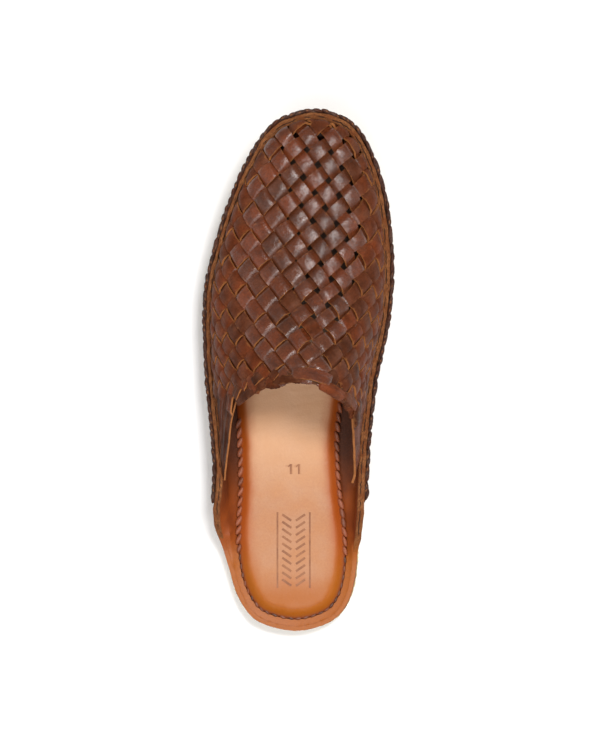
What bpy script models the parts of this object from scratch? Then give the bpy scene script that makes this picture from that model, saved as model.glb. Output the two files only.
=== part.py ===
"""Woven leather mule, left shoe: the construction.

One open-backed slipper made the way a workshop makes it.  A flat crepe outsole and a
leather midsole carry an upright band of suede.  Woven strips of leather form the vamp,
a plait covers the seam between vamp and band, and a running strip laced round the edge
ties the band down to the sole.  A domed insole lies inside.

Axes: +Y to the toe, +X to the inner (medial) side of the foot, +Z up.  The floor is Z = 0
and the origin is the middle of the sole.  Tables and lengths are millimetres; meshes are
built in metres.
"""

import itertools
import math

import bmesh
import bpy
from mathutils import Vector

# ---------------------------------------------------------------- driving dimensions (mm)
MM = 0.001
GAP = 0.3                   # clearance between neighbouring pieces
MIDDLE = Vector((0.6, 0.2, 0.0))    # from the tables' axes to the middle of the whole shoe

SOLE_LENGTH = 296.2         # crepe, heel tip to toe tip; the plait adds the rest of the 300
HEEL_TIP = (-3.0, -150.0)
TOE_TIP = (9.8, HEEL_TIP[1] + SOLE_LENGTH)
SIDE_STEPS = 46             # facets along each side of the sole, heel tip to toe tip

CREPE_THICK = 6.9
MIDSOLE_THICK = 2.2
INSOLE_RISE = 3.4           # dome of the insole over its edge
INSOLE_EDGE = 2.6           # thickness of the insole at its edge
BAND_WALL = 2.0
VAMP_WALL = 1.6
STRIP_RAISE = 0.9           # how far a strip stands over the one it crosses

SPRING_START = 15.0         # the sole is flat behind this, and curves up in front of it
SPRING_SPAN = 135.0
SPRING_RISE = 24.5          # rise of the sole 135 mm in front of SPRING_START
SPRING_POWER = 1.5

# heights over the underside of the sole
MIDSOLE_FOOT = CREPE_THICK + GAP
BAND_FOOT = MIDSOLE_FOOT + MIDSOLE_THICK + GAP
BAND_LEDGE = BAND_FOOT + 2.0
OUTER_KNEE = 14.0           # the band stands upright below these heights, and leans above
INNER_KNEE = 17.5
VAMP_FOOT = 27.0            # hidden lower edge of the vamp, inside the band
VAMP_RISE = 1.8             # the vamp stands upright to this height over the band's top edge

PLAIT_PITCH = 9.8
PLAIT_DROP = 4.6            # middle of the plait, under the band's top edge
PLAIT_HALF_HEIGHT = 4.9
PLAIT_CLEAR = 0.6           # stands off the band's flat facets
PLAIT_DEPTH = 3.1
LACE_PITCH = 9.8
LACE_WIDTH = 7.2
LACE_CLEAR = 0.5            # the gap again, and room for flat facets round the toe
LACE_END_Y = -77.0          # the plait and the lacing stop here on both sides
PLAIT_END_Y = -73.0

# The edge of the sole and what stands on it: one row for each station along the foot.
#   y         station
#   lateral   x of the sole's outer edge         medial    x of its inner edge
#   in_lat    insole's inset from that edge      in_med    the same on the inner side
SOLE_ROWS = (
    # y      lateral medial in_lat in_med
    (-145.5, -23.2, 15.5, 6.8, 6.8),
    (-136.0, -33.5, 26.0, 6.6, 6.6),
    (-120.0, -40.3, 31.5, 6.4, 6.4),
    (-95.0, -43.8, 33.4, 6.8, 7.0),
    (-65.0, -44.6, 34.9, 8.8, 12.0),
    (-35.0, -47.4, 37.0, 10.8, 15.0),
    (-5.0, -50.9, 41.2, 11.5, 14.5),
    (25.0, -52.3, 48.0, 11.5, 12.5),
    (50.0, -51.2, 51.0, 11.0, 11.0),
    (75.0, -44.8, 50.6, 10.0, 10.0),
    (100.0, -36.0, 47.4, 9.0, 9.0),
    (120.0, -26.5, 41.3, 8.5, 8.5),
    (134.0, -17.5, 34.0, 8.2, 8.2),
    (142.0, -7.5, 25.5, 8.0, 8.0),
)
Y, LATERAL, MEDIAL, IN_LAT, IN_MED = range(5)
TIP_INSET = 6.8             # insole inset at the heel tip
TOE_INSET = 8.0

# The band's top edge: its height over the sole's underside and how far it leans outward.
BAND_ROWS = (
    # y      h_lat  h_med  out_lat out_med
    (-150.0, 13.0, 13.0, -0.3, -0.3),
    (-118.0, 13.2, 13.4, -0.3, -0.3),
    (-110.0, 13.8, 14.4, 0.6, -0.1),
    (-102.0, 14.2, 17.5, 2.0, 0.3),
    (-92.0, 19.5, 25.5, 4.0, 1.0),
    (-80.0, 30.0, 33.5, 4.2, 1.5),
    (-70.0, 36.5, 36.5, 2.6, 1.5),
    (-58.0, 36.5, 36.5, 1.0, 1.3),
    (-35.0, 34.5, 34.5, 0.0, 1.0),
    (-15.0, 33.5, 33.5, -0.2, 0.5),
    (10.0, 32.0, 32.0, -0.3, -0.3),
    (150.0, 32.5, 32.5, -0.3, -0.3),
)
H_LAT, H_MED, OUT_LAT, OUT_MED = range(1, 5)

# The last over the foot: its crest, and how full each side is (superellipse power).
LAST_ROWS = (
    # y     crest_x crest_z full_lat full_med
    (-70.0, 4.0, 102.0, 1.45, 1.95),
    (-40.0, 6.0, 105.5, 1.50, 2.00),
    (-12.0, 8.5, 103.8, 1.60, 2.10),
    (5.0, 8.5, 94.5, 1.70, 2.05),
    (25.0, 8.0, 83.5, 1.85, 2.05),
    (50.0, 8.0, 73.0, 2.00, 2.10),
    (75.0, 8.0, 69.0, 2.15, 2.20),
    (105.0, 8.0, 67.0, 2.40, 2.40),
)
CREST_X, CREST_Z, FULL_LAT, FULL_MED = range(1, 5)
FAN = Vector((8.0, 105.0))  # in front of here the sections fan out around this point
TOE_FULL = 2.9

# The weave, laid flat: s runs across from the crest line, t along it (t = y at FAN).
STRIP_A = Vector((6.2, -8.6))   # one crossing along the strips that run to the inner side
STRIP_B = Vector((-7.7, -7.1))  # one crossing along the strips that run to the outer side
WEAVE_START = Vector((-2.5, 125.5))
GAP_SIZE = 2.1              # side of an open gap between four strips
PIN_LENGTH = 8.0            # of the square pins that cut the gaps
SKIRT = 13.0                # how far the woven sheet is drawn past the vamp's edge
WEAVE_COUNT = range(-14, 34)    # crossings counted either way from WEAVE_START
WEAVE_REACH = (110.0, -78.0, 175.0)     # largest |s|, smallest and largest t of the sheet
GAP_REACH = (60.0, 16.0, 150.0)         # the same for the open gaps
SMALLEST_GAP = 1.1

# The throat, seen from above, from the outer corner over the instep to the inner corner.
THROAT_ROWS = (
    # x      y
    (-31.0, -60.0),
    (-33.0, -26.0),
    (-33.6, -17.5),
    (-26.0, -11.5),
    (-16.0, -8.5),
    (-2.0, -6.8),
    (8.0, -6.8),
    (16.0, -10.0),
    (25.0, -15.0),
    (30.5, -21.0),
    (31.0, -30.0),
    (28.0, -60.0),
)

# The upper edge of the side straps, seen from the side, from the throat's corner to the band.
STRAP_ROWS = (
    # y      z
    (-19.0, 72.0),
    (-23.0, 66.0),
    (-30.0, 60.0),
    (-48.0, 48.0),
    (-67.0, 36.5),
)

# node name: colour (linear), roughness
FINISH = {
    "outsole": ((0.60, 0.45, 0.19), 0.85),
    "midsole": ((0.25, 0.06, 0.02), 0.65),
    "insole": ((0.66, 0.37, 0.23), 0.45),
    "side_band": ((0.32, 0.12, 0.04), 0.85),
    "vamp": ((0.10, 0.035, 0.02), 0.40),
    "edge_braid": ((0.045, 0.018, 0.012), 0.38),
    "welt_lacing": ((0.12, 0.045, 0.025), 0.50),
}


# ---------------------------------------------------------------- curves and tables
def smooth(rows, column, y):
    """Value of a column at y: a cubic through the rows, level beyond the first and last."""
    if y <= rows[0][0]:
        return rows[0][column]
    if y >= rows[-1][0]:
        return rows[-1][column]

    def slope(i):
        if i in (0, len(rows) - 1):
            return 0.0
        before, after = rows[i - 1], rows[i + 1]
        return (after[column] - before[column]) / (after[0] - before[0])

    i = max(n for n, row in enumerate(rows[:-1]) if row[0] <= y)
    a, b = rows[i], rows[i + 1]
    span = b[0] - a[0]
    u = (y - a[0]) / span
    return ((2 * u**3 - 3 * u**2 + 1) * a[column] + (u**3 - 2 * u**2 + u) * span * slope(i)
            + (-2 * u**3 + 3 * u**2) * b[column] + (u**3 - u**2) * span * slope(i + 1))


def through(points, closed, steps=16):
    """A dense polyline on the Catmull-Rom curve through 2D points."""
    count = len(points)
    line = []
    for i in range(count if closed else count - 1):
        if closed:
            p = [Vector(points[(i + k) % count]) for k in (-1, 0, 1, 2)]
        else:
            p = [Vector(points[min(max(i + k, 0), count - 1)]) for k in (-1, 0, 1, 2)]
        for step in range(steps):
            u = step / steps
            line.append(0.5 * (2 * p[1] + (p[2] - p[0]) * u
                               + (2 * p[0] - 5 * p[1] + 4 * p[2] - p[3]) * u**2
                               + (3 * p[1] - p[0] - 3 * p[2] + p[3]) * u**3))
    if not closed:
        line.append(Vector(points[-1]))
    return line


def spaced(line, count):
    """The polyline resampled to count equal steps, both ends kept."""
    reach = [0.0]
    for a, b in zip(line, line[1:]):
        reach.append(reach[-1] + (b - a).length)
    points, k = [], 0
    for step in range(count + 1):
        target = reach[-1] * step / count
        while k < len(line) - 2 and reach[k + 1] < target:
            k += 1
        part = (target - reach[k]) / max(reach[k + 1] - reach[k], 1e-9)
        points.append(line[k].lerp(line[k + 1], min(part, 1.0)))
    return points


def spring(y):
    """Height of the sole's underside: flat on the floor, then curving up to the toe."""
    return SPRING_RISE * (max(y - SPRING_START, 0.0) / SPRING_SPAN) ** SPRING_POWER


class Edge:
    """The sole's edge as a closed loop of stations, with its outward direction."""

    def __init__(self, steps):
        inner = [(row[MEDIAL], row[Y]) for row in SOLE_ROWS]
        outer = [(row[LATERAL], row[Y]) for row in reversed(SOLE_ROWS)]
        line = through([HEEL_TIP] + inner + [TOE_TIP] + outer, closed=True)
        toe = max(range(len(line)), key=lambda i: line[i].y)
        up = spaced(line[:toe + 1], steps)
        down = spaced(line[toe:] + line[:1], steps)
        self.points = up + down[1:-1]
        self.count = len(self.points)
        self.half = steps
        around = zip(self.points, self.points[1:] + self.points[:1])
        self.step = sum((b - a).length for a, b in around) / self.count
        self.out = []
        for i in range(self.count):
            along = self.points[(i + 1) % self.count] - self.points[i - 1]
            self.out.append(Vector((along.y, -along.x)).normalized())

    def medial(self, i):
        return i <= self.half

    def at(self, i, offset):
        return self.points[i] + self.out[i] * offset

    def inset(self, i):
        """Distance from the sole's edge in to the insole's edge."""
        y = self.points[i].y
        if y < SOLE_ROWS[0][Y]:
            return TIP_INSET
        if y > SOLE_ROWS[-1][Y]:
            return TOE_INSET
        return smooth(SOLE_ROWS, IN_MED if self.medial(i) else IN_LAT, y)

    def band_top(self, i):
        """(lean outward, height over the underside) of the band's top edge."""
        y = self.points[i].y
        columns = (OUT_MED, H_MED) if self.medial(i) else (OUT_LAT, H_LAT)
        return tuple(smooth(BAND_ROWS, column, y) for column in columns)


# ---------------------------------------------------------------- making objects
def new_object(name, bm, collection):
    """A bmesh in millimetres becomes a named object in metres with its own material."""
    bmesh.ops.recalc_face_normals(bm, faces=bm.faces)
    mesh = bpy.data.meshes.new(name)
    bm.to_mesh(mesh)
    bm.free()
    for vertex in mesh.vertices:
        vertex.co = (vertex.co + MIDDLE) * MM
    piece = bpy.data.objects.new(name, mesh)
    collection.objects.link(piece)
    if name in FINISH:
        colour, roughness = FINISH[name]
        material = bpy.data.materials.new(name)
        material.use_nodes = True
        shader = material.node_tree.nodes["Principled BSDF"]
        shader.inputs["Base Color"].default_value = (*colour, 1.0)
        shader.inputs["Roughness"].default_value = roughness
        mesh.materials.append(material)
    mesh.shade_smooth()
    mesh.set_sharp_from_angle(angle=math.radians(28))
    return piece


def new_cutter(name, bm, collection):
    cutter = new_object(name, bm, collection)
    cutter.hide_render = True
    cutter.display_type = "WIRE"
    return cutter


def boolean(piece, cutter, operation):
    modifier = piece.modifiers.new(f"{operation.lower()} {cutter.name}", "BOOLEAN")
    modifier.operation = operation
    modifier.solver = "EXACT"
    modifier.object = cutter


def ring_walls(bm, rings, closed):
    """Quads between neighbouring rings of vertices, and from the last to the first."""
    pairs = list(zip(rings, rings[1:])) + ([(rings[-1], rings[0])] if closed else [])
    for low, high in pairs:
        for i in range(len(low)):
            j = (i + 1) % len(low)
            bm.faces.new((low[i], low[j], high[j], high[i]))


def ring_lid(bm, ring, half):
    """A lid of quads across a sole-shaped ring whose tips are at 0 and half."""
    count = len(ring)
    bm.faces.new((ring[0], ring[1], ring[count - 1]))
    for i in range(1, half - 1):
        bm.faces.new((ring[i], ring[i + 1], ring[count - i - 1], ring[count - i]))
    bm.faces.new((ring[half - 1], ring[half], ring[half + 1]))


def sole_slab(name, edge, levels, collection):
    """A slab of the sole's outline.  levels: (inset function, height) from the bottom up."""
    bm = bmesh.new()
    rings = []
    for inset, height in levels:
        ring = []
        for i in range(edge.count):
            p = edge.at(i, -inset(i))
            ring.append(bm.verts.new((p.x, p.y, spring(p.y) + height)))
        rings.append(ring)
    ring_walls(bm, rings, closed=False)
    ring_lid(bm, rings[0], edge.half)
    ring_lid(bm, rings[-1], edge.half)
    return new_object(name, bm, collection)


# ---------------------------------------------------------------- sole and insole
def make_outsole(edge, collection):
    """Flat crepe sheet with its lower edge rubbed round."""
    rub = 1.2
    levels = ((lambda i: rub, 0.0), (lambda i: 0.0, rub), (lambda i: 0.0, CREPE_THICK))
    return sole_slab("outsole", edge, levels, collection)


def make_midsole(edge, collection):
    """Red-brown leather layer, trimmed a hair inside the crepe."""
    trim = 0.2
    levels = ((lambda i: trim, MIDSOLE_FOOT), (lambda i: trim, MIDSOLE_FOOT + MIDSOLE_THICK))
    return sole_slab("midsole", edge, levels, collection)


def make_insole(edge, collection):
    """Domed footbed inside the band's ledge."""
    foot = BAND_FOOT
    levels = (
        (lambda i: edge.inset(i) + GAP, foot),
        (lambda i: edge.inset(i) + GAP, foot + INSOLE_EDGE),
        (lambda i: edge.inset(i) + 6.0, foot + INSOLE_EDGE + INSOLE_RISE),
    )
    return sole_slab("insole", edge, levels, collection)


# ---------------------------------------------------------------- side band
BLOCK_PITCH = 9.6
BLOCK_WIDTH = 7.0
BLOCK_FOOT = 16.5
BLOCK_RAISE = 0.8
BLOCK_Y = (-74.0, 36.0)


def band_section(edge, i):
    """The band's section at a station: (offset from the sole's edge, height) pairs."""
    lean, top = edge.band_top(i)
    root = -GAP
    knee = min(OUTER_KNEE, top - 1.2)
    inner_knee = min(INNER_KNEE, top - 0.6)
    return (
        (root, BAND_FOOT),
        (root, knee),
        (lean, top),
        (lean - BAND_WALL, top),
        (min(root, lean) - BAND_WALL - 0.6, inner_knee),
        (-edge.inset(i), BAND_LEDGE),
        (-edge.inset(i), BAND_FOOT),
    )


def make_side_band(edge, collection, cutters):
    """Suede band: a ledge sewn round the insole that turns up into a standing wall."""
    bm = bmesh.new()
    rings = [[] for _ in band_section(edge, 0)]
    for i in range(edge.count):
        for ring, (offset, height) in zip(rings, band_section(edge, i)):
            p = edge.at(i, offset)
            ring.append(bm.verts.new((p.x, p.y, spring(p.y) + height)))
    ring_walls(bm, rings, closed=True)
    band = new_object("side_band", bm, collection)
    blocks = new_cutter("strip_ends", strip_ends(edge), cutters)
    boolean(band, blocks, "UNION")
    return band


def wall_point(edge, k, height, stand):
    """Point on the band's outer wall at a fractional station k, standing out from it."""
    i, part = int(k) % edge.count, k % 1.0
    j = (i + 1) % edge.count
    spots = []
    for n in (i, j):
        lean, top = edge.band_top(n)
        knee = min(OUTER_KNEE, top - 1.2)
        rise = min(max((height - knee) / (top - knee), 0.0), 1.0)
        p = edge.at(n, -GAP + (lean + GAP) * rise + stand)
        spots.append(Vector((p.x, p.y, spring(p.y) + height)))
    return spots[0].lerp(spots[1], part)


def stations_between(edge, first_y, last_y, medial):
    """Fractional stations of the points where a side passes two values of y."""
    side = range(0, edge.half) if medial else range(edge.half, edge.count)
    found = []
    for y in (first_y, last_y):
        for i in side:
            a, b = edge.points[i].y, edge.points[(i + 1) % edge.count].y
            if (a - y) * (b - y) <= 0 and a != b:
                found.append(i + (y - a) / (b - a))
                break
    return sorted(found)


def strip_ends(edge):
    """Ends of the vamp's strips, pulled through slots and lying flat on the band."""
    bm = bmesh.new()
    for medial in (True, False):
        first, last = stations_between(edge, *BLOCK_Y, medial)
        count = int((last - first) * edge.step / BLOCK_PITCH)
        for n in range(count):
            middle = first + (n + 0.5) * (last - first) / count
            half = 0.5 * BLOCK_WIDTH / edge.step
            _, top = edge.band_top(int(middle) % edge.count)
            tall = top - PLAIT_DROP - PLAIT_HALF_HEIGHT - 2 * GAP - BLOCK_FOOT
            box = bmesh.ops.create_cube(bm, size=1.0)["verts"]
            for vertex in box:
                k = middle + 2 * half * vertex.co.x
                height = BLOCK_FOOT + (vertex.co.z + 0.5) * tall
                stand = BLOCK_RAISE if vertex.co.y > 0 else -0.9
                vertex.co = wall_point(edge, k, height, stand)
    return bm


# ---------------------------------------------------------------- vamp
def quarter_oval(wide, tall, full, steps=48):
    """A quarter of a superellipse as (across, up) points, from its top down to its side."""
    turns = [0.5 * math.pi * n / steps for n in range(steps + 1)]
    return [Vector((wide * math.sin(turn) ** (2 / full),
                    tall * max(math.cos(turn), 0.0) ** (2 / full))) for turn in turns]


class Last:
    """The top of the foot as a surface over flat weave coordinates (s, t)."""

    def __init__(self, edge):
        clear = BAND_WALL + 0.7
        self.rim, self.rise, self.slant = [], [], []
        for i in range(edge.count):
            lean, top = edge.band_top(i)
            self.rim.append(edge.at(i, lean - clear))
            self.rise.append(top + VAMP_RISE)
            self.slant.append(max(lean + 0.9, 0.0) / (top - INNER_KNEE))
        self.crest = [(FAN.y, FAN.y)]           # (t, y) going back from the fan
        y, t = FAN.y, FAN.y
        while y > LAST_ROWS[0][0]:
            rise = smooth(LAST_ROWS, CREST_Z, y - 1) - smooth(LAST_ROWS, CREST_Z, y)
            y, t = y - 1.0, t - math.hypot(1.0, rise)
            self.crest.append((t, y))

    def crest_y(self, t):
        for (t0, y0), (t1, y1) in zip(self.crest, self.crest[1:]):
            if t >= t1:
                return y0 + (y1 - y0) * (t - t0) / (t1 - t0)
        return self.crest[-1][1]

    def to_rim(self, start, heading):
        """Along heading to the rim: its distance, the vamp's height and the band's slant."""
        best = None
        for i in range(len(self.rim)):
            a, b = self.rim[i - 1], self.rim[i]
            side = b - a
            cross = heading.x * side.y - heading.y * side.x
            if abs(cross) < 1e-9:
                continue
            gap = a - start
            far = (gap.x * side.y - gap.y * side.x) / cross
            along = (gap.x * heading.y - gap.y * heading.x) / cross
            if far > 1.0 and 0.0 <= along <= 1.0 and (best is None or far < best):
                best = far
                rise = self.rise[i - 1] + along * (self.rise[i] - self.rise[i - 1])
                slant = self.slant[i - 1] + along * (self.slant[i] - self.slant[i - 1])
        return best, rise, slant

    def profile(self, s, t):
        """(start, heading, crest height, fullness, distance from the crest) at (s, t)."""
        if t > FAN.y:
            reach = math.hypot(s, t - FAN.y)
            heading = Vector((s, t - FAN.y)).normalized() if reach > 1e-6 else Vector((0, 1))
            side = smooth(LAST_ROWS, FULL_MED if s > 0 else FULL_LAT, FAN.y)
            full = TOE_FULL + (side - TOE_FULL) * abs(heading.x) ** 1.5
            return FAN, heading, smooth(LAST_ROWS, CREST_Z, FAN.y), full, reach
        y = self.crest_y(t)
        start = Vector((smooth(LAST_ROWS, CREST_X, y), y))
        heading = Vector((1.0 if s > 0 else -1.0, 0.0))
        full = smooth(LAST_ROWS, FULL_MED if s > 0 else FULL_LAT, y)
        return start, heading, smooth(LAST_ROWS, CREST_Z, y), full, abs(s)

    def point(self, s, t):
        """Point on the last, and how far inside the rim it is (negative on the skirt)."""
        start, heading, top, full, reach = self.profile(s, t)
        wide, rise, slant = self.to_rim(start, heading)
        foot = start + heading * wide
        base = spring(foot.y) + rise
        line = quarter_oval(wide, top - base, full)
        whole = sum((b - a).length for a, b in zip(line, line[1:]))
        inside, run = whole - reach, 0.0
        for before, after in zip(line, line[1:]):
            length = (after - before).length
            if run + length >= reach:
                spot = before.lerp(after, (reach - run) / length)
                p = start + heading * spot.x
                return Vector((p.x, p.y, base + spot.y)), inside
            run += length
        tuck = foot + heading * slant * inside
        return Vector((tuck.x, tuck.y, base + inside)), inside

    def normal(self, s, t):
        d = 0.6
        across = self.point(s + d, t)[0] - self.point(s - d, t)[0]
        along = self.point(s, t + d)[0] - self.point(s, t - d)[0]
        return across.cross(along).normalized()


def flat(i, j):
    """Flat coordinates of a crossing's corner in the weave."""
    return WEAVE_START + i * STRIP_A + j * STRIP_B


def within(reach, s, t):
    widest, first, last = reach
    return abs(s) <= widest and first <= t <= last


def is_strap(s, t):
    """Behind the throat's corners the strips run on side by side, unwoven."""
    return t < -8.0 - 0.35 * max(abs(s) - 45.0, 0.0) and abs(s) > 30.0


def weave_cells(last):
    """Cells of the weave that the vamp needs, before it is trimmed."""
    cells = []
    for i, j in itertools.product(WEAVE_COUNT, WEAVE_COUNT):
        s, t = flat(i + 0.5, j + 0.5)
        if within(WEAVE_REACH, s, t) and last.point(s, t)[1] > -SKIRT:
            cells.append((i, j))
    return cells


def make_vamp(edge, collection, cutters):
    """Woven strips as one wall: every crossing is a low pillow lying along its top strip."""
    last = Last(edge)
    bm = bmesh.new()
    corners = {}

    def spot(s, t, raised):
        point, inside = last.point(s, t)
        fade = min(max((inside + 1.0) / 6.0, 0.0), 1.0)
        return point + last.normal(s, t) * (raised * (0.2 + 0.8 * fade))

    def corner(i, j):
        if (i, j) not in corners:
            s, t = flat(i, j)
            point, _ = last.point(s, t)
            under = point - last.normal(s, t) * VAMP_WALL
            corners[(i, j)] = (bm.verts.new(point), bm.verts.new(under))
        return corners[(i, j)]

    cells = weave_cells(last)
    edges = {}
    for i, j in cells:
        loop = [corner(i, j), corner(i + 1, j), corner(i + 1, j + 1), corner(i, j + 1)]
        bm.faces.new([pair[1] for pair in reversed(loop)])
        for a, b in zip(loop, loop[1:] + loop[:1]):
            edges.setdefault(frozenset((a[0], b[0])), []).append((a, b))
        middle = flat(i + 0.5, j + 0.5)
        if last.point(*middle)[1] < 0.0:
            bm.faces.new([pair[0] for pair in loop])
            continue
        along_a = (i + j) % 2 == 0
        near, far = 0.2, 0.8
        if is_strap(*middle):
            along_a = middle.x > 0
            near, far = 0.04, 0.96
        if along_a:
            spots = [(near, 0.06), (far, 0.06), (far, 0.94), (near, 0.94)]
        else:
            spots = [(0.06, near), (0.94, near), (0.94, far), (0.06, far)]
        pillow = [bm.verts.new(spot(*flat(i + u, j + v), STRIP_RAISE)) for u, v in spots]
        top = [pair[0] for pair in loop]
        bm.faces.new(pillow)
        ring_walls(bm, [top, pillow], closed=False)
    for shared in edges.values():
        if len(shared) == 1:
            a, b = shared[0]
            bm.faces.new((a[0], b[0], b[1], a[1]))
    vamp = new_object("vamp", bm, collection)
    boolean(vamp, new_cutter("throat", throat_block(), cutters), "DIFFERENCE")
    boolean(vamp, new_cutter("strap_edges", strap_block(), cutters), "DIFFERENCE")
    boolean(vamp, new_cutter("vamp_foot", foot_block(edge), cutters), "DIFFERENCE")
    boolean(vamp, new_cutter("weave_gaps", gap_pins(last), cutters), "DIFFERENCE")
    return vamp


def prism(outline, axis, low, high):
    """A block with an outline of 2D points, drawn out along Z (axis 2) or X (axis 0)."""
    bm = bmesh.new()
    ends = []
    for level in (low, high):
        place = (lambda p: (p.x, p.y, level)) if axis == 2 else (lambda p: (level, p.x, p.y))
        ends.append([bm.verts.new(place(p)) for p in outline])
    ring_walls(bm, ends, closed=False)
    bm.faces.new(ends[0])
    bm.faces.new(ends[1])
    return bm


def throat_block():
    """The opening over the instep, from above."""
    return prism(spaced(through(THROAT_ROWS, closed=False), 40), 2, -20.0, 160.0)


def strap_block():
    """Everything over and behind the side straps, from the side."""
    line = spaced(through(STRAP_ROWS, closed=False), 8)
    last_y, last_z = STRAP_ROWS[-1]
    far = [Vector((last_y, -20.0)), Vector((-170.0, -20.0)), Vector((-170.0, 160.0)),
           Vector((STRAP_ROWS[0][0], 160.0))]
    return prism(line + far, 0, -95.0, 95.0)


def foot_block(edge):
    """Everything under the vamp's hidden lower edge, following the toe spring."""
    bm = bmesh.new()
    rings = []
    for height in (None, VAMP_FOOT):
        ring = []
        for i in range(edge.count):
            p = edge.at(i, 25.0)
            level = -60.0 if height is None else spring(p.y) + height
            ring.append(bm.verts.new((p.x, p.y, level)))
        rings.append(ring)
    ring_walls(bm, rings, closed=False)
    ring_lid(bm, rings[0], edge.half)
    ring_lid(bm, rings[1], edge.half)
    return bm


def open_gap(s, t):
    """How open the weave is at a corner: widest over the toe, closed down the sides."""
    inner = 1.0 - ((s - 6.0 - 0.12 * (105 - t)) / 27.0) ** 2
    return inner * min(1.0, 0.75 + 0.004 * (t - 20.0))


def gap_pins(last):
    """Square pins through the corners where four strips leave a gap."""
    bm = bmesh.new()
    for i, j in itertools.product(WEAVE_COUNT, WEAVE_COUNT):
        s, t = flat(i, j)
        size = GAP_SIZE * open_gap(s, t)
        if size < SMALLEST_GAP or not within(GAP_REACH, s, t):
            continue
        centre, inside = last.point(s, t)
        if inside < PIN_LENGTH:
            continue
        out = last.normal(s, t)
        along = last.point(s + 0.1 * STRIP_A.x, t + 0.1 * STRIP_A.y)[0] - centre
        along = (along - out * along.dot(out)).normalized()
        across = out.cross(along)
        for vertex in bmesh.ops.create_cube(bm, size=1.0)["verts"]:
            u, v, w = vertex.co
            vertex.co = centre + (along * u + across * v) * size + out * w * PIN_LENGTH
    return bm


# ---------------------------------------------------------------- plait and lacing
def run_stations(edge, end_y, pitch):
    """Start of a run round the toe, its count of units and the length of one, in stations."""
    first = stations_between(edge, end_y, end_y + 1.0, True)[0]
    last = stations_between(edge, end_y, end_y + 1.0, False)[1]
    count = round((last - first) * edge.step / pitch)
    return first, count, (last - first) / count


def make_edge_braid(edge, collection):
    """The plait over the seam: units that swell and taper, swept back like chevrons."""
    first, count, unit = run_stations(edge, PLAIT_END_Y, PLAIT_PITCH)
    swell = ((0.0, 0.62), (0.3, 0.95), (0.75, 1.0))
    section = ((0.0, -0.8), (0.75, -0.55), (1.0, 0.05), (0.6, 0.75), (0.0, 1.0))
    bm = bmesh.new()
    rings = []
    for n in range(count):
        back = 1.0 if n < count / 2 else -1.0
        for where, size in swell:
            ring = []
            k = first + (n + where) * unit
            _, top = edge.band_top(int(k) % edge.count)
            for depth, level in section:
                sweep = 0.25 * unit * (1.0 - abs(level)) * -back
                height = top - PLAIT_DROP + PLAIT_HALF_HEIGHT * level * size
                stand = PLAIT_CLEAR + PLAIT_DEPTH * depth * size
                ring.append(bm.verts.new(wall_point(edge, k + sweep, height, stand)))
            rings.append(ring)
    ring_walls(bm, rings, closed=False)
    bm.faces.new(rings[0])
    bm.faces.new(rings[-1])
    return new_object("edge_braid", bm, collection)


def make_welt_lacing(edge, collection):
    """The running strip round the edge and the loops that bind it to the sole."""
    first, count, unit = run_stations(edge, LACE_END_Y, LACE_PITCH)
    half = 0.5 * LACE_WIDTH / LACE_PITCH
    bm = bmesh.new()
    rings = []

    def ring(k, stand, low, high):
        i, part = int(k) % edge.count, k % 1.0
        corners = []
        for offset, height in ((LACE_CLEAR, low), (stand, low), (stand, high), (LACE_CLEAR, high)):
            ends = []
            for n in (i, (i + 1) % edge.count):
                p = edge.at(n, offset)
                ends.append(Vector((p.x, p.y, spring(p.y) + height)))
            corners.append(bm.verts.new(ends[0].lerp(ends[1], part)))
        rings.append(corners)

    for n in range(count):
        middle = first + (n + 0.5) * unit
        y = edge.at(int(middle) % edge.count, 0.0).y
        front = min(max((y - 25.0) / 40.0, 0.0), 1.0)
        low, high = 4.8 + 2.9 * front, 11.4 + 3.8 * front
        for side, stand, bottom, top in ((-1.12, 1.2, 9.3, 10.8), (-1.0, 1.9, low, high),
                                         (1.0, 1.9, low, high), (1.12, 1.2, 9.3, 10.8)):
            ring(middle + side * half * unit, stand, bottom, top)
    ring_walls(bm, rings, closed=False)
    bm.faces.new(rings[0])
    bm.faces.new(rings[-1])
    return new_object("welt_lacing", bm, collection)


# ---------------------------------------------------------------- assembly
def clear_scene():
    for item in list(bpy.data.objects):
        bpy.data.objects.remove(item, do_unlink=True)


def new_collection(name):
    collection = bpy.data.collections.new(name)
    bpy.context.scene.collection.children.link(collection)
    return collection


def main():
    clear_scene()
    slipper = new_collection("woven_slipper")
    cutters = new_collection("cutters")
    edge = Edge(SIDE_STEPS)
    make_outsole(edge, slipper)
    make_midsole(edge, slipper)
    make_insole(edge, slipper)
    make_side_band(edge, slipper, cutters)
    make_vamp(edge, slipper, cutters)
    make_edge_braid(edge, slipper)
    make_welt_lacing(edge, slipper)


main()
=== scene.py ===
"""Woven leather slipper: the finish of every piece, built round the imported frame.

Tables and lengths are millimetres in the shoe's own axes (+Y to the toe, +X to the inner side
of the foot, floor at Z = 0), as in the construction; meshes are metres.
"""

import math

import bpy
import numpy as np
from bpy.props import FloatProperty, FloatVectorProperty, IntProperty, PointerProperty
from bpy.types import Operator, Panel, PropertyGroup
from mathutils import Matrix


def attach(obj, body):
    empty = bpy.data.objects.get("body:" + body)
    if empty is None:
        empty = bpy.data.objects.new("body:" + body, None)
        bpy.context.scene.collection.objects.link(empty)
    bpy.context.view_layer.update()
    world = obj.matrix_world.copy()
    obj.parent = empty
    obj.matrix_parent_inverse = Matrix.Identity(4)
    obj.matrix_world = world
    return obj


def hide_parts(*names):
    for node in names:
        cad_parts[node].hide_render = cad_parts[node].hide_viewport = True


bl_info = {
    "name": "Woven leather slipper",
    "version": (1, 0, 0),
    "blender": (4, 5, 0),
    "location": "3D View > Sidebar > Slipper",
    "description": "Finishes a hand-woven leather slipper round its packed frame",
    "category": "Add Mesh",
}

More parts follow.
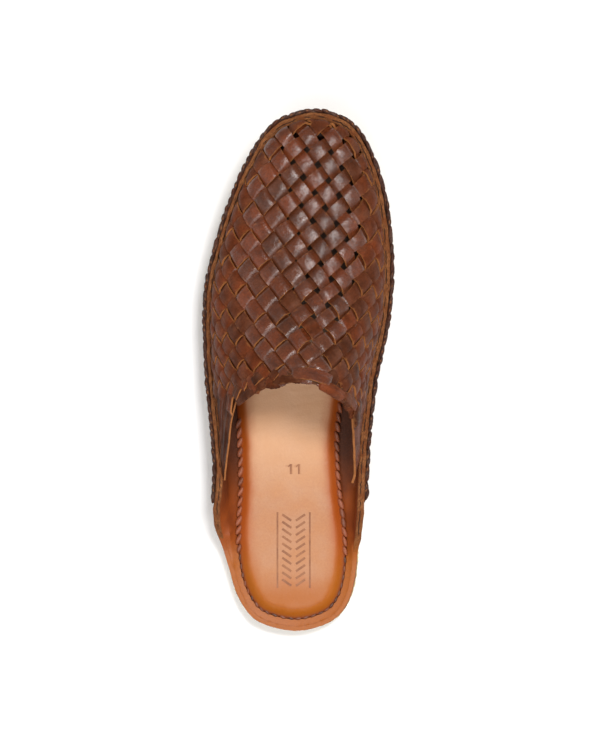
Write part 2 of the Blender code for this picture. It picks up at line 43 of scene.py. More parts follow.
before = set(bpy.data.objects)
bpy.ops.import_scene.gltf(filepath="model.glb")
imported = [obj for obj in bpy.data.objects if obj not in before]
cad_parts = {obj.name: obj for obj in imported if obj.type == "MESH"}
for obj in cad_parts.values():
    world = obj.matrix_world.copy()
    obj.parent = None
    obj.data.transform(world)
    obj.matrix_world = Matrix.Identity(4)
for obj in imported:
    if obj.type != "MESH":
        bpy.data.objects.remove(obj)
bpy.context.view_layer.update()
BODY = "root"

# -------- sizes shared with the frame
MM = 0.001
GAP = 0.3                               # from one layer to the next
MIDDLE = np.array((0.6, 0.2, 0.0))      # from the tables' axes to the middle of the shoe
HEEL_TIP = (-3.0, -150.0)
TOE_TIP = (9.8, 146.2)
CAD_STEPS = 46                          # facets along each side of the frame's sole
FINE = 10                               # stations here for one there
CREPE_THICK = 6.9
MIDSOLE_THICK = 2.2
INSOLE_EDGE = 2.6
INSOLE_RISE = 3.4
BAND_WALL = 2.0
SPRING_START = 15.0
SPRING_SPAN = 135.0
SPRING_RISE = 24.5
SPRING_POWER = 1.5
MIDSOLE_FOOT = CREPE_THICK + GAP
BAND_FOOT = MIDSOLE_FOOT + MIDSOLE_THICK + GAP
BAND_LEDGE = BAND_FOOT + 2.0
OUTER_KNEE = 14.0                       # where the band's outer face starts to lean
INNER_KNEE = 17.5                       # where its inner face turns down into the ledge
VAMP_RISE = 1.8                         # the vamp's rim stands this far over the band
VAMP_CLEAR = 0.7                        # and this far inside its wall
PLAIT_END_Y = -73.0
PLAIT_PITCH = 9.8
LACE_END_Y = -77.0
LACE_PITCH = 9.8

# The sole's edge and the insole's inset from it, one row for each station along the foot.
SOLE_ROWS = np.array((
    # y      lateral medial in_lat in_med
    (-145.5, -23.2, 15.5, 6.8, 6.8),
    (-136.0, -33.5, 26.0, 6.6, 6.6),
    (-120.0, -40.3, 31.5, 6.4, 6.4),
    (-95.0, -43.8, 33.4, 6.8, 7.0),
    (-65.0, -44.6, 34.9, 8.8, 12.0),
    (-35.0, -47.4, 37.0, 10.8, 15.0),
    (-5.0, -50.9, 41.2, 11.5, 14.5),
    (25.0, -52.3, 48.0, 11.5, 12.5),
    (50.0, -51.2, 51.0, 11.0, 11.0),
    (75.0, -44.8, 50.6, 10.0, 10.0),
    (100.0, -36.0, 47.4, 9.0, 9.0),
    (120.0, -26.5, 41.3, 8.5, 8.5),
    (134.0, -17.5, 34.0, 8.2, 8.2),
    (142.0, -7.5, 25.5, 8.0, 8.0),
))
Y, LATERAL, MEDIAL, IN_LAT, IN_MED = range(5)
TIP_INSET = 6.8
TOE_INSET = 8.0

# The band's top edge: its height over the sole's underside and how far it leans outward.
BAND_ROWS = np.array((
    # y      h_lat  h_med  out_lat out_med
    (-150.0, 13.0, 13.0, -0.3, -0.3),
    (-118.0, 13.2, 13.4, -0.3, -0.3),
    (-110.0, 13.8, 14.4, 0.6, -0.1),
    (-102.0, 14.2, 17.5, 2.0, 0.3),
    (-92.0, 19.5, 25.5, 4.0, 1.0),
    (-80.0, 30.0, 33.5, 4.2, 1.5),
    (-70.0, 36.5, 36.5, 2.6, 1.5),
    (-58.0, 36.5, 36.5, 1.0, 1.3),
    (-35.0, 34.5, 34.5, 0.0, 1.0),
    (-15.0, 33.5, 33.5, -0.2, 0.5),
    (10.0, 32.0, 32.0, -0.3, -0.3),
    (150.0, 32.5, 32.5, -0.3, -0.3),
))
H_LAT, H_MED, OUT_LAT, OUT_MED = range(1, 5)

# The last over the foot: its crest, and how full each side is (superellipse power).
LAST_ROWS = np.array((
    # y     crest_x crest_z full_lat full_med
    (-70.0, 4.0, 102.0, 1.45, 1.95),
    (-40.0, 6.0, 105.5, 1.50, 2.00),
    (-12.0, 8.5, 103.8, 1.60, 2.10),
    (5.0, 8.5, 94.5, 1.70, 2.05),
    (25.0, 8.0, 83.5, 1.85, 2.05),
    (50.0, 8.0, 73.0, 2.00, 2.10),
    (75.0, 8.0, 69.0, 2.15, 2.20),
    (105.0, 8.0, 67.0, 2.40, 2.40),
))
CREST_X, CREST_Z, FULL_LAT, FULL_MED = range(1, 5)
FAN = np.array((8.0, 105.0))            # in front of here the sections fan out round this point
TOE_FULL = 2.9

# The weave laid flat: s runs across from the crest line (+ to the inner side), t along it.
STRIP_A = np.array((6.2, -8.6))         # one crossing along the strips that run to the inner side
STRIP_B = np.array((-7.7, -7.1))        # one crossing along the strips that run to the outer side
WEAVE_START = np.array((-2.5, 125.5))

# The throat's edge and the straps' upper edges in the same flat coordinates, outer strap first.
THROAT_LINE = (
    # s     t
    (-88.0, -81.0),
    (-80.0, -68.0),
    (-74.1, -56.0),
    (-69.4, -47.0),
    (-65.5, -38.0),
    (-59.5, -29.5),
    (-51.5, -23.5),
    (-41.5, -19.0),
    (-27.6, -16.1),
    (-11.0, -14.2),
    (0.0, -14.4),
    (8.5, -17.6),
    (21.0, -23.2),
    (34.0, -28.0),
    (44.6, -31.5),
    (50.9, -40.1),
    (57.0, -48.7),
    (63.2, -57.3),
    (69.4, -65.9),
    (75.6, -74.5),
    (83.0, -84.5),
)
THROAT_WORN = 3.5           # the strips' turned edge stands this far in front of the line
# The centre line of the hidden seam between a woven strip and the strap strips below it.
OUTER_STRAP_LINE = (
    # s     t
    (-43.0, -8.0),
    (-53.0, -19.0),
    (-61.0, -29.5),
    (-66.8, -38.0),
    (-70.5, -47.0),
    (-75.2, -56.0),
    (-81.5, -68.0),
    (-90.0, -82.0),
)


# -------- colour
def linear(code):
    """An sRGB hex code as linear red, green and blue."""
    parts = [int(code[i:i + 2], 16) / 255 for i in (1, 3, 5)]
    return tuple(c / 12.92 if c <= 0.04045 else ((c + 0.055) / 1.055) ** 2.4 for c in parts)


# -------- what a user may change
class SlipperSizes(PropertyGroup):
    """Sizes of the strips, stitches and wear."""

    strip_thickness: FloatProperty(
        name="Strip thickness", description="Leather of the woven strips",
        default=0.0013, min=0.0005, max=0.002, unit="LENGTH")
    strip_rise: FloatProperty(
        name="Strip rise", description="How far a strip swings over and under the next",
        default=0.00122, min=0.0, max=0.0015, unit="LENGTH")
    open_gap: FloatProperty(
        name="Open gap", description="Widest gap between strips, over the toes",
        default=0.0034, min=0.0, max=0.004, unit="LENGTH")
    close_gap: FloatProperty(
        name="Close gap", description="Gap between strips down the sides",
        default=0.0006, min=0.0, max=0.002, unit="LENGTH")
    stitch_pitch: FloatProperty(
        name="Stitch pitch", description="From stitch to stitch round the insole",
        default=0.0055, min=0.003, max=0.01, unit="LENGTH")
    seed: IntProperty(
        name="Seed", description="Changes the small differences between strips", default=11)


class SlipperColours(PropertyGroup):
    """Colours of the leathers and the rubber."""

    strip_deep: FloatVectorProperty(
        name="Strip, deep", description="Darkest of the woven strips",
        subtype="COLOR", default=linear("#47220f"))
    strip_brown: FloatVectorProperty(
        name="Strip, brown", description="Most of the woven strips",
        subtype="COLOR", default=linear("#72361b"))
    strip_red: FloatVectorProperty(
        name="Strip, red", description="Redder strips down the sides",
        subtype="COLOR", default=linear("#804126"))
    strip_bloom: FloatVectorProperty(
        name="Strip, bloom", description="Greyish wax bloom on the strips",
        subtype="COLOR", default=linear("#7a503c"))
    cut_edge: FloatVectorProperty(
        name="Cut edge", description="Undyed edge of a cut strip",
        subtype="COLOR", default=linear("#b47440"))
    flesh_side: FloatVectorProperty(
        name="Flesh side", description="Back of the strips",
        subtype="COLOR", default=linear("#4e2d1a"))
    suede: FloatVectorProperty(
        name="Suede", description="Outside of the band",
        subtype="COLOR", default=linear("#96602f"))
    suede_dark: FloatVectorProperty(
        name="Suede, rubbed", description="Greasy, darkened patches of the band",
        subtype="COLOR", default=linear("#5c3d22"))
    lining: FloatVectorProperty(
        name="Lining", description="Smooth inner face of the band",
        subtype="COLOR", default=linear("#9c4a17"))
    plait: FloatVectorProperty(
        name="Plait", description="Waxed strand over the seam",
        subtype="COLOR", default=linear("#3b251d"))
    crepe: FloatVectorProperty(
        name="Crepe", description="Natural crepe rubber",
        subtype="COLOR", default=linear("#cfb57e"))
    midsole: FloatVectorProperty(
        name="Midsole", description="Stained edge of the midsole",
        subtype="COLOR", default=linear("#7d3f22"))
    insole: FloatVectorProperty(
        name="Insole", description="Middle of the insole",
        subtype="COLOR", default=linear("#bb855e"))
    insole_margin: FloatVectorProperty(
        name="Insole margin", description="Burnished margin of the insole",
        subtype="COLOR", default=linear("#a94f14"))
    insole_heel: FloatVectorProperty(
        name="Insole heel", description="Ochre margin round the heel",
        subtype="COLOR", default=linear("#aa5a06"))
    stitch: FloatVectorProperty(
        name="Stitch", description="Leather thong of the insole's seam",
        subtype="COLOR", default=linear("#98502f"))


# -------- curves and tables
def smooth(rows, column, y):
    """A column at y: a cubic through the rows, level beyond the first and last."""
    at, value = rows[:, Y], rows[:, column]
    slope = np.zeros(len(at))
    slope[1:-1] = (value[2:] - value[:-2]) / (at[2:] - at[:-2])
    y = np.clip(np.asarray(y, float), at[0], at[-1])
    i = np.clip(np.searchsorted(at, y, side="right") - 1, 0, len(at) - 2)
    span = at[i + 1] - at[i]
    u = (y - at[i]) / span
    return ((2 * u**3 - 3 * u**2 + 1) * value[i] + (u**3 - 2 * u**2 + u) * span * slope[i]
            + (3 * u**2 - 2 * u**3) * value[i + 1] + (u**3 - u**2) * span * slope[i + 1])


def through(points, closed, steps=16):
    """A dense polyline on the Catmull-Rom curve through 2D points."""
    p = np.array(points, float)
    p = np.vstack((p[-1:], p, p[:2])) if closed else np.vstack((p[:1], p, p[-1:]))
    u = (np.arange(steps) / steps)[:, None]
    line = []
    for a, b, c, d in zip(p, p[1:], p[2:], p[3:]):
        line.append(0.5 * (2 * b + (c - a) * u + (2 * a - 5 * b + 4 * c - d) * u**2
                           + (3 * b - a - 3 * c + d) * u**3))
    line = np.vstack(line)
    return line if closed else np.vstack((line, p[-1:]))


def reach_along(line):
    """How far along a polyline each of its points is."""
    return np.concatenate(((0.0,), np.cumsum(np.linalg.norm(np.diff(line, axis=0), axis=1))))


def spaced(line, count):
    """The polyline resampled to count equal steps, both ends kept."""
    reach = reach_along(line)
    at = np.linspace(0.0, reach[-1], count + 1)
    return np.stack([np.interp(at, reach, line[:, k]) for k in range(line.shape[1])], axis=1)


def spring(y):
    """Height of the sole's underside: flat on the floor, then curving up to the toe."""
    lift = np.maximum(np.asarray(y, float) - SPRING_START, 0.0) / SPRING_SPAN
    return SPRING_RISE * lift ** SPRING_POWER


def ease(x, low, high):
    """0 below low, 1 above high, smooth between."""
    u = np.clip((np.asarray(x, float) - low) / (high - low), 0.0, 1.0)
    return u * u * (3 - 2 * u)


def unit(vectors):
    """Vectors brought to length 1."""
    length = np.linalg.norm(vectors, axis=-1, keepdims=True)
    return vectors / np.maximum(length, 1e-9)


def bumps(x, y, seed, size):
    """Smooth noise about 0, roughly -1 to 1, with features of a given size."""
    rng = np.random.default_rng(seed)
    total = np.zeros(np.broadcast(x, y).shape)
    for _ in range(7):
        angle, phase = rng.uniform(0, 2 * np.pi, 2)
        pace = 2 * np.pi / size * rng.uniform(0.6, 1.6)
        total += np.sin((x * np.cos(angle) + y * np.sin(angle)) * pace + phase)
    return total / 3.5


# -------- the sole's edge
class Edge:
    """The sole's edge as a closed loop of stations, heel tip, inner side, toe, outer side."""

    def __init__(self):
        steps = CAD_STEPS * FINE
        inner = [(row[MEDIAL], row[Y]) for row in SOLE_ROWS]
        outer = [(row[LATERAL], row[Y]) for row in SOLE_ROWS[::-1]]
        line = through([HEEL_TIP] + inner + [TOE_TIP] + outer, closed=True)
        toe = int(np.argmax(line[:, 1]))
        up = spaced(line[:toe + 1], steps)
        down = spaced(np.vstack((line[toe:], line[:1])), steps)
        self.points = np.vstack((up, down[1:-1]))
        self.count, self.half = len(self.points), steps
        ahead = np.roll(self.points, -1, axis=0)
        self.step = np.linalg.norm(ahead - self.points, axis=1).mean()
        along = np.roll(self.points, -4, axis=0) - np.roll(self.points, 4, axis=0)
        self.out = unit(np.stack((along[:, 1], -along[:, 0]), axis=1))
        y = self.points[:, 1]
        medial = np.arange(self.count) <= self.half
        self.lean = np.where(medial, smooth(BAND_ROWS, OUT_MED, y), smooth(BAND_ROWS, OUT_LAT, y))
        self.top = np.where(medial, smooth(BAND_ROWS, H_MED, y), smooth(BAND_ROWS, H_LAT, y))
        inset = np.where(medial, smooth(SOLE_ROWS, IN_MED, y), smooth(SOLE_ROWS, IN_LAT, y))
        inset = np.where(y < SOLE_ROWS[0, Y], TIP_INSET, inset)
        self.inset = np.where(y > SOLE_ROWS[-1, Y], TOE_INSET, inset)

    def read(self, field, k):
        """A field of the stations at fractional stations k."""
        k = np.asarray(k, float) % self.count
        i = k.astype(int) % self.count
        part = k - np.floor(k)
        if field.ndim == 2:
            part = part[..., None]
        return field[i] * (1 - part) + field[(i + 1) % self.count] * part

    def at(self, k, offset, height):
        """Points standing off the sole's edge, at heights over its underside."""
        p = self.read(self.points, k) + unit(self.read(self.out, k)) * np.asarray(offset)[..., None]
        z = spring(p[..., 1]) + height
        return np.concatenate((p, np.broadcast_to(z, p.shape[:-1])[..., None]), axis=-1)

    def wall(self, k, height, stand):
        """Points on the band's outer wall, standing out from it."""
        lean, top = self.read(self.lean, k), self.read(self.top, k)
        knee = np.minimum(OUTER_KNEE, top - 1.2)
        rise = np.clip((height - knee) / (top - knee), 0.0, 1.3)
        return self.at(k, -GAP + (lean + GAP) * rise + stand, height)

    def stations(self, y):
        """Fractional stations where the inner and the outer side pass a value of y."""
        side = self.points[:, 1]
        inner = np.interp(y, side[:self.half + 1], np.arange(self.half + 1))
        outer = self.count - np.interp(
            y, np.append(side[self.half:], side[0])[::-1], np.arange(self.count - self.half + 1))
        return float(inner), float(outer)

    def units(self, end_y, pitch):
        """Start, length in stations and count of the units of a run round the toe."""
        first, last = self.stations(end_y)
        count = round((last - first) * self.step / pitch)
        return first, (last - first) / count, count


# -------- the top of the foot
class Last:
    """The top of the foot as a surface over flat weave coordinates (s, t), and its throat."""

    CELL = 1.5
    S = np.arange(-108.0, 108.1, CELL)
    T = np.arange(-86.5, 176.1, CELL)
    OVAL_STEPS = 48
    ROLL = 1.6              # radius of the strips' turn over the throat's edge
    BACK_Y = -95.0          # the crest is laid out from the toe to here

    def __init__(self, edge):
        clear = BAND_WALL + VAMP_CLEAR
        coarse = slice(None, None, FINE)
        self.rim = (edge.points + edge.out * (edge.lean - clear)[:, None])[coarse]
        self.rise = (edge.top + VAMP_RISE)[coarse]
        self.slant = (np.maximum(edge.lean + 0.9, 0.0) / (edge.top - INNER_KNEE))[coarse]
        ys, ts = [FAN[1]], [FAN[1]]
        while ys[-1] > self.BACK_Y:
            rise = smooth(LAST_ROWS, CREST_Z, ys[-1] - 1) - smooth(LAST_ROWS, CREST_Z, ys[-1])
            ys.append(ys[-1] - 1.0)
            ts.append(ts[-1] - math.hypot(1.0, rise))
        self.crest_y, self.crest_t = np.array(ys[::-1]), np.array(ts[::-1])
        rows = [self.row(t) for t in self.T]
        self.grid = np.stack([points for points, _ in rows])
        self.inside = np.stack([inside for _, inside in rows])
        across, along = np.gradient(self.grid, axis=1), np.gradient(self.grid, axis=0)
        self.normals = unit(np.cross(across, along))
        worn = [(s, t + THROAT_WORN * float(ease(s, -45.0, -25.0) * ease(50.0 - s, 0.0, 12.0)))
                for s, t in THROAT_LINE]
        self.throat = spaced(through(worn, closed=False), 400)
        self.distance = self.from_throat()
        back, side = np.gradient(self.distance, self.CELL)
        self.away = unit(np.stack((side, back), axis=-1))

    def row(self, t):
        """A row of the surface: its points, and how far each is inside the rim."""
        s = self.S
        if t > FAN[1]:
            spread = np.stack((s, np.full_like(s, t - FAN[1])), axis=1)
            reach = np.linalg.norm(spread, axis=1)
            heading = unit(spread)
            start = np.broadcast_to(FAN, heading.shape)
            side = smooth(LAST_ROWS, FULL_MED, FAN[1])
            full = TOE_FULL + (side - TOE_FULL) * np.abs(heading[:, 0]) ** 1.5
            top = smooth(LAST_ROWS, CREST_Z, FAN[1])
        else:
            y = float(np.interp(t, self.crest_t, self.crest_y))
            reach = np.abs(s)
            heading = np.stack((np.where(s > 0, 1.0, -1.0), np.zeros_like(s)), axis=1)
            start = np.broadcast_to((float(smooth(LAST_ROWS, CREST_X, y)), y), heading.shape)
            full = np.where(s > 0, smooth(LAST_ROWS, FULL_MED, y), smooth(LAST_ROWS, FULL_LAT, y))
            top = smooth(LAST_ROWS, CREST_Z, y)
        wide, rise, slant = self.to_rim(start, heading)
        foot = start + heading * wide[:, None]
        base = spring(foot[:, 1]) + rise
        turn = 0.5 * np.pi * np.arange(self.OVAL_STEPS + 1) / self.OVAL_STEPS
        power = (2 / full)[:, None]
        flat = wide[:, None] * np.sin(turn) ** power
        high = (top - base)[:, None] * np.maximum(np.cos(turn), 0.0) ** power
        run = np.cumsum(np.hypot(np.diff(flat), np.diff(high)), axis=1)
        run = np.concatenate((np.zeros((len(s), 1)), run), axis=1)
        inside = run[:, -1] - reach
        points = np.empty((len(s), 3))
        for n, deep in enumerate(inside):
            if deep >= 0:
                out = np.interp(reach[n], run[n], flat[n])
                points[n, :2] = start[n] + heading[n] * out
                points[n, 2] = base[n] + np.interp(reach[n], run[n], high[n])
            else:
                points[n, :2] = foot[n] + heading[n] * slant[n] * deep
                points[n, 2] = base[n] + deep
        return points, inside

    def to_rim(self, start, heading):
        """Along each heading to the rim: distance, the vamp's height and the band's slant."""
        a, b = np.roll(self.rim, 1, axis=0), self.rim
        side = b - a
        cross = heading[:, None, 0] * side[:, 1] - heading[:, None, 1] * side[:, 0]
        cross = np.where(np.abs(cross) < 1e-9, np.nan, cross)
        gap = a - start[:, None]
        far = (gap[..., 0] * side[:, 1] - gap[..., 1] * side[:, 0]) / cross
        along = (gap[..., 0] * heading[:, None, 1] - gap[..., 1] * heading[:, None, 0]) / cross
        far = np.where((far > 1.0) & (along >= 0.0) & (along <= 1.0), far, np.inf)
        k = np.argmin(far, axis=1)
        rows = np.arange(len(k))
        part = along[rows, k]
        rise = self.rise[k - 1] + part * (self.rise[k] - self.rise[k - 1])
        slant = self.slant[k - 1] + part * (self.slant[k] - self.slant[k - 1])
        return far[rows, k], rise, slant

    def from_throat(self):
        """Distance to the throat's edge over the grid, negative inside the opening."""
        s, t = np.meshgrid(self.S, self.T)
        best = np.full(s.shape, np.inf)
        sign = np.ones(s.shape)
        for a, b in zip(self.throat, self.throat[1:]):
            side = b - a
            part = ((s - a[0]) * side[0] + (t - a[1]) * side[1]) / (side @ side)
            part = np.clip(part, 0.0, 1.0)
            far = np.hypot(s - a[0] - part * side[0], t - a[1] - part * side[1])
            front = side[0] * (t - a[1]) - side[1] * (s - a[0]) > 0
            closer = far < best
            best = np.where(closer, far, best)
            sign = np.where(closer, np.where(front, 1.0, -1.0), sign)
        return best * sign

    def read(self, field, s, t):
        """A field of the grid at (s, t), between its points."""
        a = np.clip((np.asarray(s, float) - self.S[0]) / self.CELL, 0, len(self.S) - 1.001)
        b = np.clip((np.asarray(t, float) - self.T[0]) / self.CELL, 0, len(self.T) - 1.001)
        i, j = a.astype(int), b.astype(int)
        u, v = a - i, b - j
        if field.ndim == 3:
            u, v = u[..., None], v[..., None]
        return (field[j, i] * (1 - u) * (1 - v) + field[j, i + 1] * u * (1 - v)
                + field[j + 1, i] * (1 - u) * v + field[j + 1, i + 1] * u * v)

    def over(self, s, t, lift):
        """Points a lift off the surface; past the throat's edge they roll over it and in."""
        beyond = np.maximum(-self.read(self.distance, s, t), 0.0)
        away = unit(self.read(self.away, s, t))
        s = s + beyond * away[..., 0]
        t = t + beyond * away[..., 1]
        point, normal = self.read(self.grid, s, t), unit(self.read(self.normals, s, t))
        reach = 0.8
        ahead = unit(self.read(self.grid, s - reach * away[..., 0], t - reach * away[..., 1])
                     - self.read(self.grid, s + reach * away[..., 0], t + reach * away[..., 1]))
        turn = np.minimum(beyond / self.ROLL, np.pi)[..., None]
        tail = np.maximum(beyond - np.pi * self.ROLL, 0.0)[..., None]
        out = normal * np.cos(turn) + ahead * np.sin(turn)
        return point - normal * self.ROLL + out * (self.ROLL + np.asarray(lift)[..., None]) \
            - ahead * tail


EDGE = Edge()
LAST = Last(EDGE)


# -------- meshes
def deselect():
    """Back to object mode with nothing selected."""
    if bpy.context.object and bpy.context.object.mode != "OBJECT":
        bpy.ops.object.mode_set(mode="OBJECT")
    bpy.ops.object.select_all(action="DESELECT")


def select(*pieces):
    """Only these pieces selected, the first of them active."""
    deselect()
    for piece in pieces:
        piece.select_set(True)
    bpy.context.view_layer.objects.active = pieces[0]


def primitive(name, add, **settings):
    """A new piece from a primitive, selected alone."""
    deselect()
    add(**settings)
    piece = bpy.context.object
    piece.name = piece.data.name = name
    return piece


def get_points(piece):
    """Vertices as the mesh has them, one row for each."""
    flat = np.empty(len(piece.data.vertices) * 3)
    piece.data.vertices.foreach_get("co", flat)
    return flat.reshape(-1, 3)


def set_points(piece, points):
    """Vertices from millimetres in the tables' axes."""
    piece.data.vertices.foreach_set("co", ((points + MIDDLE) * MM).ravel())
    piece.data.update()


def note(piece, name, values):
    """A number for each vertex, which the materials read."""
    field = piece.data.attributes.new(name, "FLOAT", "POINT")
    field.data.foreach_set("value", np.broadcast_to(values, len(piece.data.vertices)).ravel())


def sheet(name, along, across, spot, size, notes=None):
    """A grid laid out by spot(u, v), u along and v across from 0 to 1; UVs in metres."""
    piece = primitive(name, bpy.ops.mesh.primitive_grid_add, size=2.0,
                      x_subdivisions=along, y_subdivisions=across)
    flat = get_points(piece)
    u, v = (flat[:, 0] + 1) / 2, (flat[:, 1] + 1) / 2
    set_points(piece, spot(u, v))
    uv = piece.data.uv_layers[0].data
    layout = np.empty(len(uv) * 2)
    uv.foreach_get("uv", layout)
    uv.foreach_set("uv", (layout.reshape(-1, 2) * np.array(size) * MM).ravel())
    for key, values in (notes(u, v) if notes else {}).items():
        note(piece, key, values)
    return piece


def loft(name, rings, notes=None):
    """A circle drawn out ring by ring; rings is (levels, stations, 3)."""
    levels, stations = rings.shape[:2]
    piece = primitive(name, bpy.ops.mesh.primitive_circle_add, vertices=stations, radius=1.0)
    bpy.ops.object.mode_set(mode="EDIT")
    bpy.ops.mesh.select_all(action="SELECT")
    for _ in range(levels - 1):
        bpy.ops.mesh.extrude_region_move(TRANSFORM_OT_translate={"value": (0.0, 0.0, 1.0)})
    bpy.ops.object.mode_set(mode="OBJECT")
    flat = get_points(piece)
    angle = np.arctan2(flat[:, 1], flat[:, 0]) / (2 * np.pi)
    station = np.rint(angle * stations).astype(int) % stations
    level = np.rint(flat[:, 2]).astype(int)
    set_points(piece, rings[level, station])
    for key, values in (notes or {}).items():
        note(piece, key, values[level, station])
    return piece


def merge(piece, distance=0.00002):
    """Coincident points joined and the faces turned outward."""
    select(piece)
    bpy.ops.object.mode_set(mode="EDIT")
    bpy.ops.mesh.select_all(action="SELECT")
    bpy.ops.mesh.remove_doubles(threshold=distance)
    bpy.ops.mesh.normals_make_consistent(inside=False)
    bpy.ops.object.mode_set(mode="OBJECT")
    return piece


def join(pieces, name):
    """The pieces as one, in their order."""
    select(*pieces)
    if len(pieces) > 1:
        bpy.ops.object.join()
    pieces[0].name = pieces[0].data.name = name
    return pieces[0]


def apply(piece, kind, **settings):
    """A modifier added with its settings and applied."""
    select(piece)
    modifier = piece.modifiers.new(kind.title(), kind)
    for key, value in settings.items():
        setattr(modifier, key, value)
    bpy.ops.object.modifier_apply(modifier=modifier.name)
    return piece


def add_slots(piece, count):
    """Empty material slots, until the piece has a count of them."""
    while len(piece.data.materials) < count:
        piece.data.materials.append(None)


def thicken(piece, thickness, bevel=0.00022, under=1, edge=2, slots=6):
    """A leather sheet gets its thickness inward, and its cut corners are rubbed round."""
    add_slots(piece, slots)
    apply(piece, "SOLIDIFY", thickness=thickness, offset=-1.0, use_quality_normals=True,
          material_offset=under, material_offset_rim=edge)
    if bevel:
        apply(piece, "BEVEL", width=bevel, segments=1, limit_method="ANGLE",
              angle_limit=math.radians(55), use_clamp_overlap=True, material=edge)
    return piece


def soften(piece, degrees=50):
    """Smooth shading, except across edges sharper than an angle."""
    select(piece)
    bpy.ops.object.shade_smooth_by_angle(angle=math.radians(degrees))


def finish(piece, node, *materials):
    """The piece takes its materials, rides on the shoe and stands for a node of the frame."""
    add_slots(piece, len(materials))
    for index, material in enumerate(materials):
        piece.data.materials[index] = material
    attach(piece, BODY)
    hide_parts(node)
    return piece


def sizes():
    return bpy.context.scene.slipper_sizes


def colours():
    return bpy.context.scene.slipper_colours


def in_mm(length):
    return length / MM


# -------- materials
# Pores, nap and fibres are a tenth or two of a millimetre on the real leathers. Their patterns
# are drawn at 0.5 to 1.3 mm, as coarse as they need to be to show.
HEEL_TAN = linear("#a85c1c")            # the band's leathers where the heel rubs them
NOISE, VORONOI, MAPPING = "ShaderNodeTexNoise", "ShaderNodeTexVoronoi", "ShaderNodeMapping"
LEVELS, MIX, BUMP = "ShaderNodeMapRange", "ShaderNodeMix", "ShaderNodeBump"
NOTE = "ShaderNodeAttribute"


def add_node(tree, kind, settings=None, links=None):
    """A shader node with its settings, and the nodes or sockets that feed it."""
    node = tree.nodes.new(kind)
    for key, value in (settings or {}).items():
        if isinstance(key, int) or key in node.inputs:
            node.inputs[key].default_value = value
        else:
            setattr(node, key, value)
    for key, source in (links or {}).items():
        source = source.outputs[0] if isinstance(source, bpy.types.Node) else source
        tree.links.new(source, node.inputs[key])
    return node


def per_metre(size_mm):
    """Pattern scale whose features are a given size."""
    return 1.0 / (size_mm * MM)


def dim(colour, share):
    """A share of a colour's light."""
    return tuple(share * c for c in colour[:3])


def stain(tree, under, over, pattern, low, high, most=1.0, least=0.0):
    """A colour laid over another as a pattern goes from low to high: its colour socket."""
    amount = add_node(tree, LEVELS, {
        "From Min": low, "From Max": high, "To Min": least, "To Max": most}, {"Value": pattern})
    settings, links = {"data_type": "RGBA"}, {0: amount}
    for key, colour in ((6, under), (7, over)):
        if isinstance(colour, bpy.types.NodeSocket):
            links[key] = colour
        else:
            settings[key] = (*colour[:3], 1.0)
    return add_node(tree, MIX, settings, links).outputs[2]


def new_material(name, roughness, ior=1.5, **sockets):
    """An empty leather or rubber: (material, tree, shader, object coordinates, strip UVs)."""
    material = bpy.data.materials.new(name)
    material.use_nodes = True
    tree = material.node_tree
    shader = tree.nodes["Principled BSDF"]
    shader.inputs["IOR"].default_value = ior
    shader.inputs["Roughness"].default_value = roughness
    for key, value in sockets.items():
        shader.inputs[key.replace("_", " ")].default_value = value
    where = add_node(tree, "ShaderNodeTexCoord")
    return material, tree, shader, where.outputs["Object"], where.outputs["UV"]


def dress(tree, shader, colour, *layers):
    """The colour reaches the shader, and each pattern is raised over the last: (node, mm)."""
    tree.links.new(colour, shader.inputs["Base Color"])
    links = {}
    for pattern, depth in layers:
        bump = add_node(tree, BUMP, {"Distance": depth * MM}, {"Height": pattern, **links})
        links = {"Normal": bump}
    tree.links.new(bump.outputs["Normal"], shader.inputs["Normal"])


